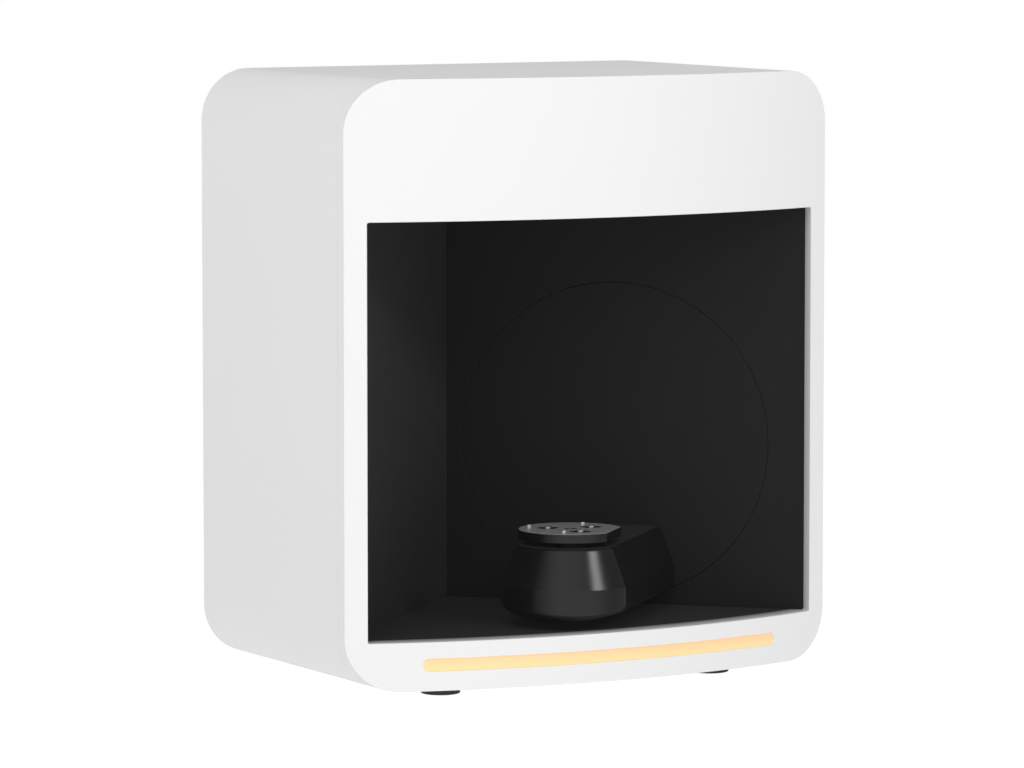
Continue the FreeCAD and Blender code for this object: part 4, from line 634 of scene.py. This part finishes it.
# The rocker's face rises from its middle to both ends, and a mark lies on each slope
rocker_middle, rocker_rise, rocker_half, mark_reach = 3.5, 1.1, 7.3, 3.9
mark_foot, mark_top = -0.1 * MM, 0.08 * MM
marks = bmesh.new()
tilt = Matrix.Translation(ROCKER_PIVOT) @ Matrix.Rotation(ROCKER_TILT, 4, "X")
slope = math.atan2(rocker_rise, rocker_half)
for end in (-1, 1):
    mark_height = rocker_middle + rocker_rise * mark_reach / rocker_half
    centre = Matrix.Translation(Vector((0, mark_height * MM, end * mark_reach * MM)))
    face = tilt @ centre @ Matrix.Rotation(math.radians(-90) - end * slope, 4, "X")
    if end > 0:
        half, tall = 0.42 * MM, 1.6 * MM
        bar = [(-half, -tall), (half, -tall), (half, tall), (-half, tall)]
        prism(marks, bar, mark_foot, mark_top, face, 0.95)
    else:
        lathe(marks, [
            (1.25 * MM, mark_foot), (1.27 * MM, mark_top), (1.8 * MM, mark_top),
            (1.82 * MM, mark_foot), (1.25 * MM, mark_foot),
        ], 48, face)
marks_mesh = finished_mesh("rocker_marks", marks)
piece("rocker_marks", marks_mesh, MARK_WHITE, "power_rocker", "white_plastic")

# The data socket's contacts lie on both faces of its tongue; corners in millimetres
contacts = bmesh.new()
for x in (-1.2, 1.2):
    for side in (-1, 1):
        left, right, inner, outer = x - 0.45, x + 0.45, 108.2, 116.4
        corners = [(left, inner), (right, inner), (right, outer), (left, outer)]
        low = (0.9 if side > 0 else -1.12) * MM
        prism(
            contacts, [(u * MM, v * MM) for u, v in corners], low, low + 0.22 * MM,
            Matrix.Translation(Vector((USB_SIDE, 0, PORT_HEIGHT))),
        )
piece("usb_contacts", finished_mesh("usb_contacts", contacts), GOLD, "housing", "aluminium")


def lens_element(radius, edge, crown):
    """A biconvex glass element on the XY plane, bulging along Z."""
    shape = bmesh.new()
    turns = [math.pi / 2 * i / 8 for i in range(9)]
    rise = [(radius * math.sin(turn), crown * math.cos(turn)) for turn in turns]
    profile = [(r, edge + h) for r, h in rise] + [(r, -h * 0.4) for r, h in reversed(rise)]
    lathe(shape, profile)
    return shape


for name, radius, x, z, direction in (
    ("projector_glass", 8.9 * MM, TURN_X, PROJECTOR_HEIGHT, (0, 0, -1)),
    ("left_camera_glass", 7.2 * MM, LEFT_LENS, LENS_HEIGHT, (LENS_LEAN, 0, LENS_DROP)),
    ("right_camera_glass", 7.2 * MM, RIGHT_LENS, LENS_HEIGHT, (-LENS_LEAN, 0, LENS_DROP)),
):
    glass = lens_element(radius, 0.6 * MM, 1.4 * MM)
    glass.transform(facing((x, TURN_Y, z), direction))
    piece(name, finished_mesh(name, glass), LENS_GLASS, "housing", "glass")


# Floor, lights and camera


def plane(name, half, material):
    shape = bmesh.new()
    bmesh.ops.create_grid(shape, x_segments=8, y_segments=8, size=half)
    mesh = bpy.data.meshes.new(name)
    shape.to_mesh(mesh)
    shape.free()
    mesh.materials.append(material)
    made = bpy.data.objects.new(name, mesh)
    bpy.context.scene.collection.objects.link(made)


# The floor is evenly white to the eye; in the object's gloss its light pools in front
PAPER_GLOW = 0.93
POOL_SIDE, POOL_DIM, POOL_EDGES = (-0.375, -0.927, 0.0), 0.35, (0.45, 0.95)
paper = Finish("studio_paper", 0.9, specular=0.1)
paper.tone(paper.noise(3), (0.15, 0.15, 0.15), (0.152, 0.152, 0.152))
toward = paper.vectors("NORMALIZE", paper.moved(offset=-TURN_AXIS))
ahead = paper.vectors("DOT_PRODUCT", toward, POOL_SIDE)
pool = paper.spread(ahead, POOL_DIM, 1.0, *POOL_EDGES, "SMOOTHSTEP")
mirrored = paper.node("ShaderNodeLightPath").outputs["Is Glossy Ray"]
fade = paper.maths("MULTIPLY", mirrored, paper.maths("SUBTRACT", 1.0, pool))
shine = paper.maths("MULTIPLY", PAPER_GLOW, paper.maths("SUBTRACT", 1.0, fade))
paper.link(shine, paper.shader.inputs["Emission Strength"])
plane("studio_floor", 80.0, paper.material)

# The sky is white to the eye and lights the object from the front left
SKY_SIDE, SKY_LOW, SKY_HIGH, SKY_EDGES = (-0.55, -0.70, 0.45), 0.28, 1.0, (0.70, 0.97)
world = bpy.data.worlds.new("studio")
bpy.context.scene.world = world
world.use_nodes = True
sky = Nodes(world.node_tree)
output = sky.node("ShaderNodeOutputWorld")
lit = sky.node("ShaderNodeBackground")
seen = sky.node("ShaderNodeBackground")
seen.inputs["Strength"].default_value = 1.0
for background in (lit, seen):
    background.inputs["Color"].default_value = WHITE_LIGHT
bearing = sky.node("ShaderNodeTexCoord").outputs["Generated"]
nearness = sky.vectors("DOT_PRODUCT", bearing, SKY_SIDE)
glow = sky.spread(nearness, SKY_LOW, SKY_HIGH, *SKY_EDGES, "SMOOTHSTEP")
sky.link(glow, lit.inputs["Strength"])
mix = sky.node("ShaderNodeMixShader")
sky.link(sky.node("ShaderNodeLightPath").outputs["Is Camera Ray"], mix.inputs["Fac"])
sky.link(lit.outputs["Background"], mix.inputs[1])
sky.link(seen.outputs["Background"], mix.inputs[2])
sky.link(mix.outputs["Shader"], output.inputs["Surface"])


def softbox(name, target, direction, distance, width, height, power, mirrored=True):
    """A rectangular light that shines from a direction onto a target."""
    light = bpy.data.lights.new(name, "AREA")
    light.shape = "RECTANGLE"
    light.size = width
    light.size_y = height
    light.energy = power
    made = bpy.data.objects.new(name, light)
    away = Vector(direction).normalized()
    made.location = Vector(target) + away * distance
    made.rotation_mode = "QUATERNION"
    made.rotation_quaternion = away.to_track_quat("Z", "Y")
    made.visible_glossy = mirrored
    bpy.context.scene.collection.objects.link(made)


softbox("key_light", (0, 0, 0.2), (-0.53, -0.49, 0.69), 3.0, 2.0, 2.0, 28.6, mirrored=False)
softbox("top_light", (0, 0, 0.4), (0.05, 0.1, 1), 3.0, 2.0, 2.0, 20.2, mirrored=False)
softbox("strip_light", (0, -0.07, 0.08), (0.304, -0.791, 0.532), 3.0, 0.8, 0.5, 15.5)

camera = bpy.data.cameras.new("photo_camera")
camera.sensor_fit = "HORIZONTAL"
camera.sensor_width = 36
camera.lens = 199.12
camera.clip_end = 500
viewer = bpy.data.objects.new("photo_camera", camera)
viewer.location = (-1.85026, -3.34539, 0.55287)
camera_right = Vector((0.8762, -0.4819, 0.0))
camera_up = Vector((0.0450, 0.0818, 0.9956))
camera_back = Vector((-0.4798, -0.8724, 0.0933))
viewer.rotation_mode = "QUATERNION"
viewer.rotation_quaternion = (
    Matrix((camera_right, camera_up, camera_back)).transposed().to_quaternion()
)
bpy.context.scene.collection.objects.link(viewer)
bpy.context.scene.camera = viewer
bpy.context.scene.view_settings.view_transform = "Standard"
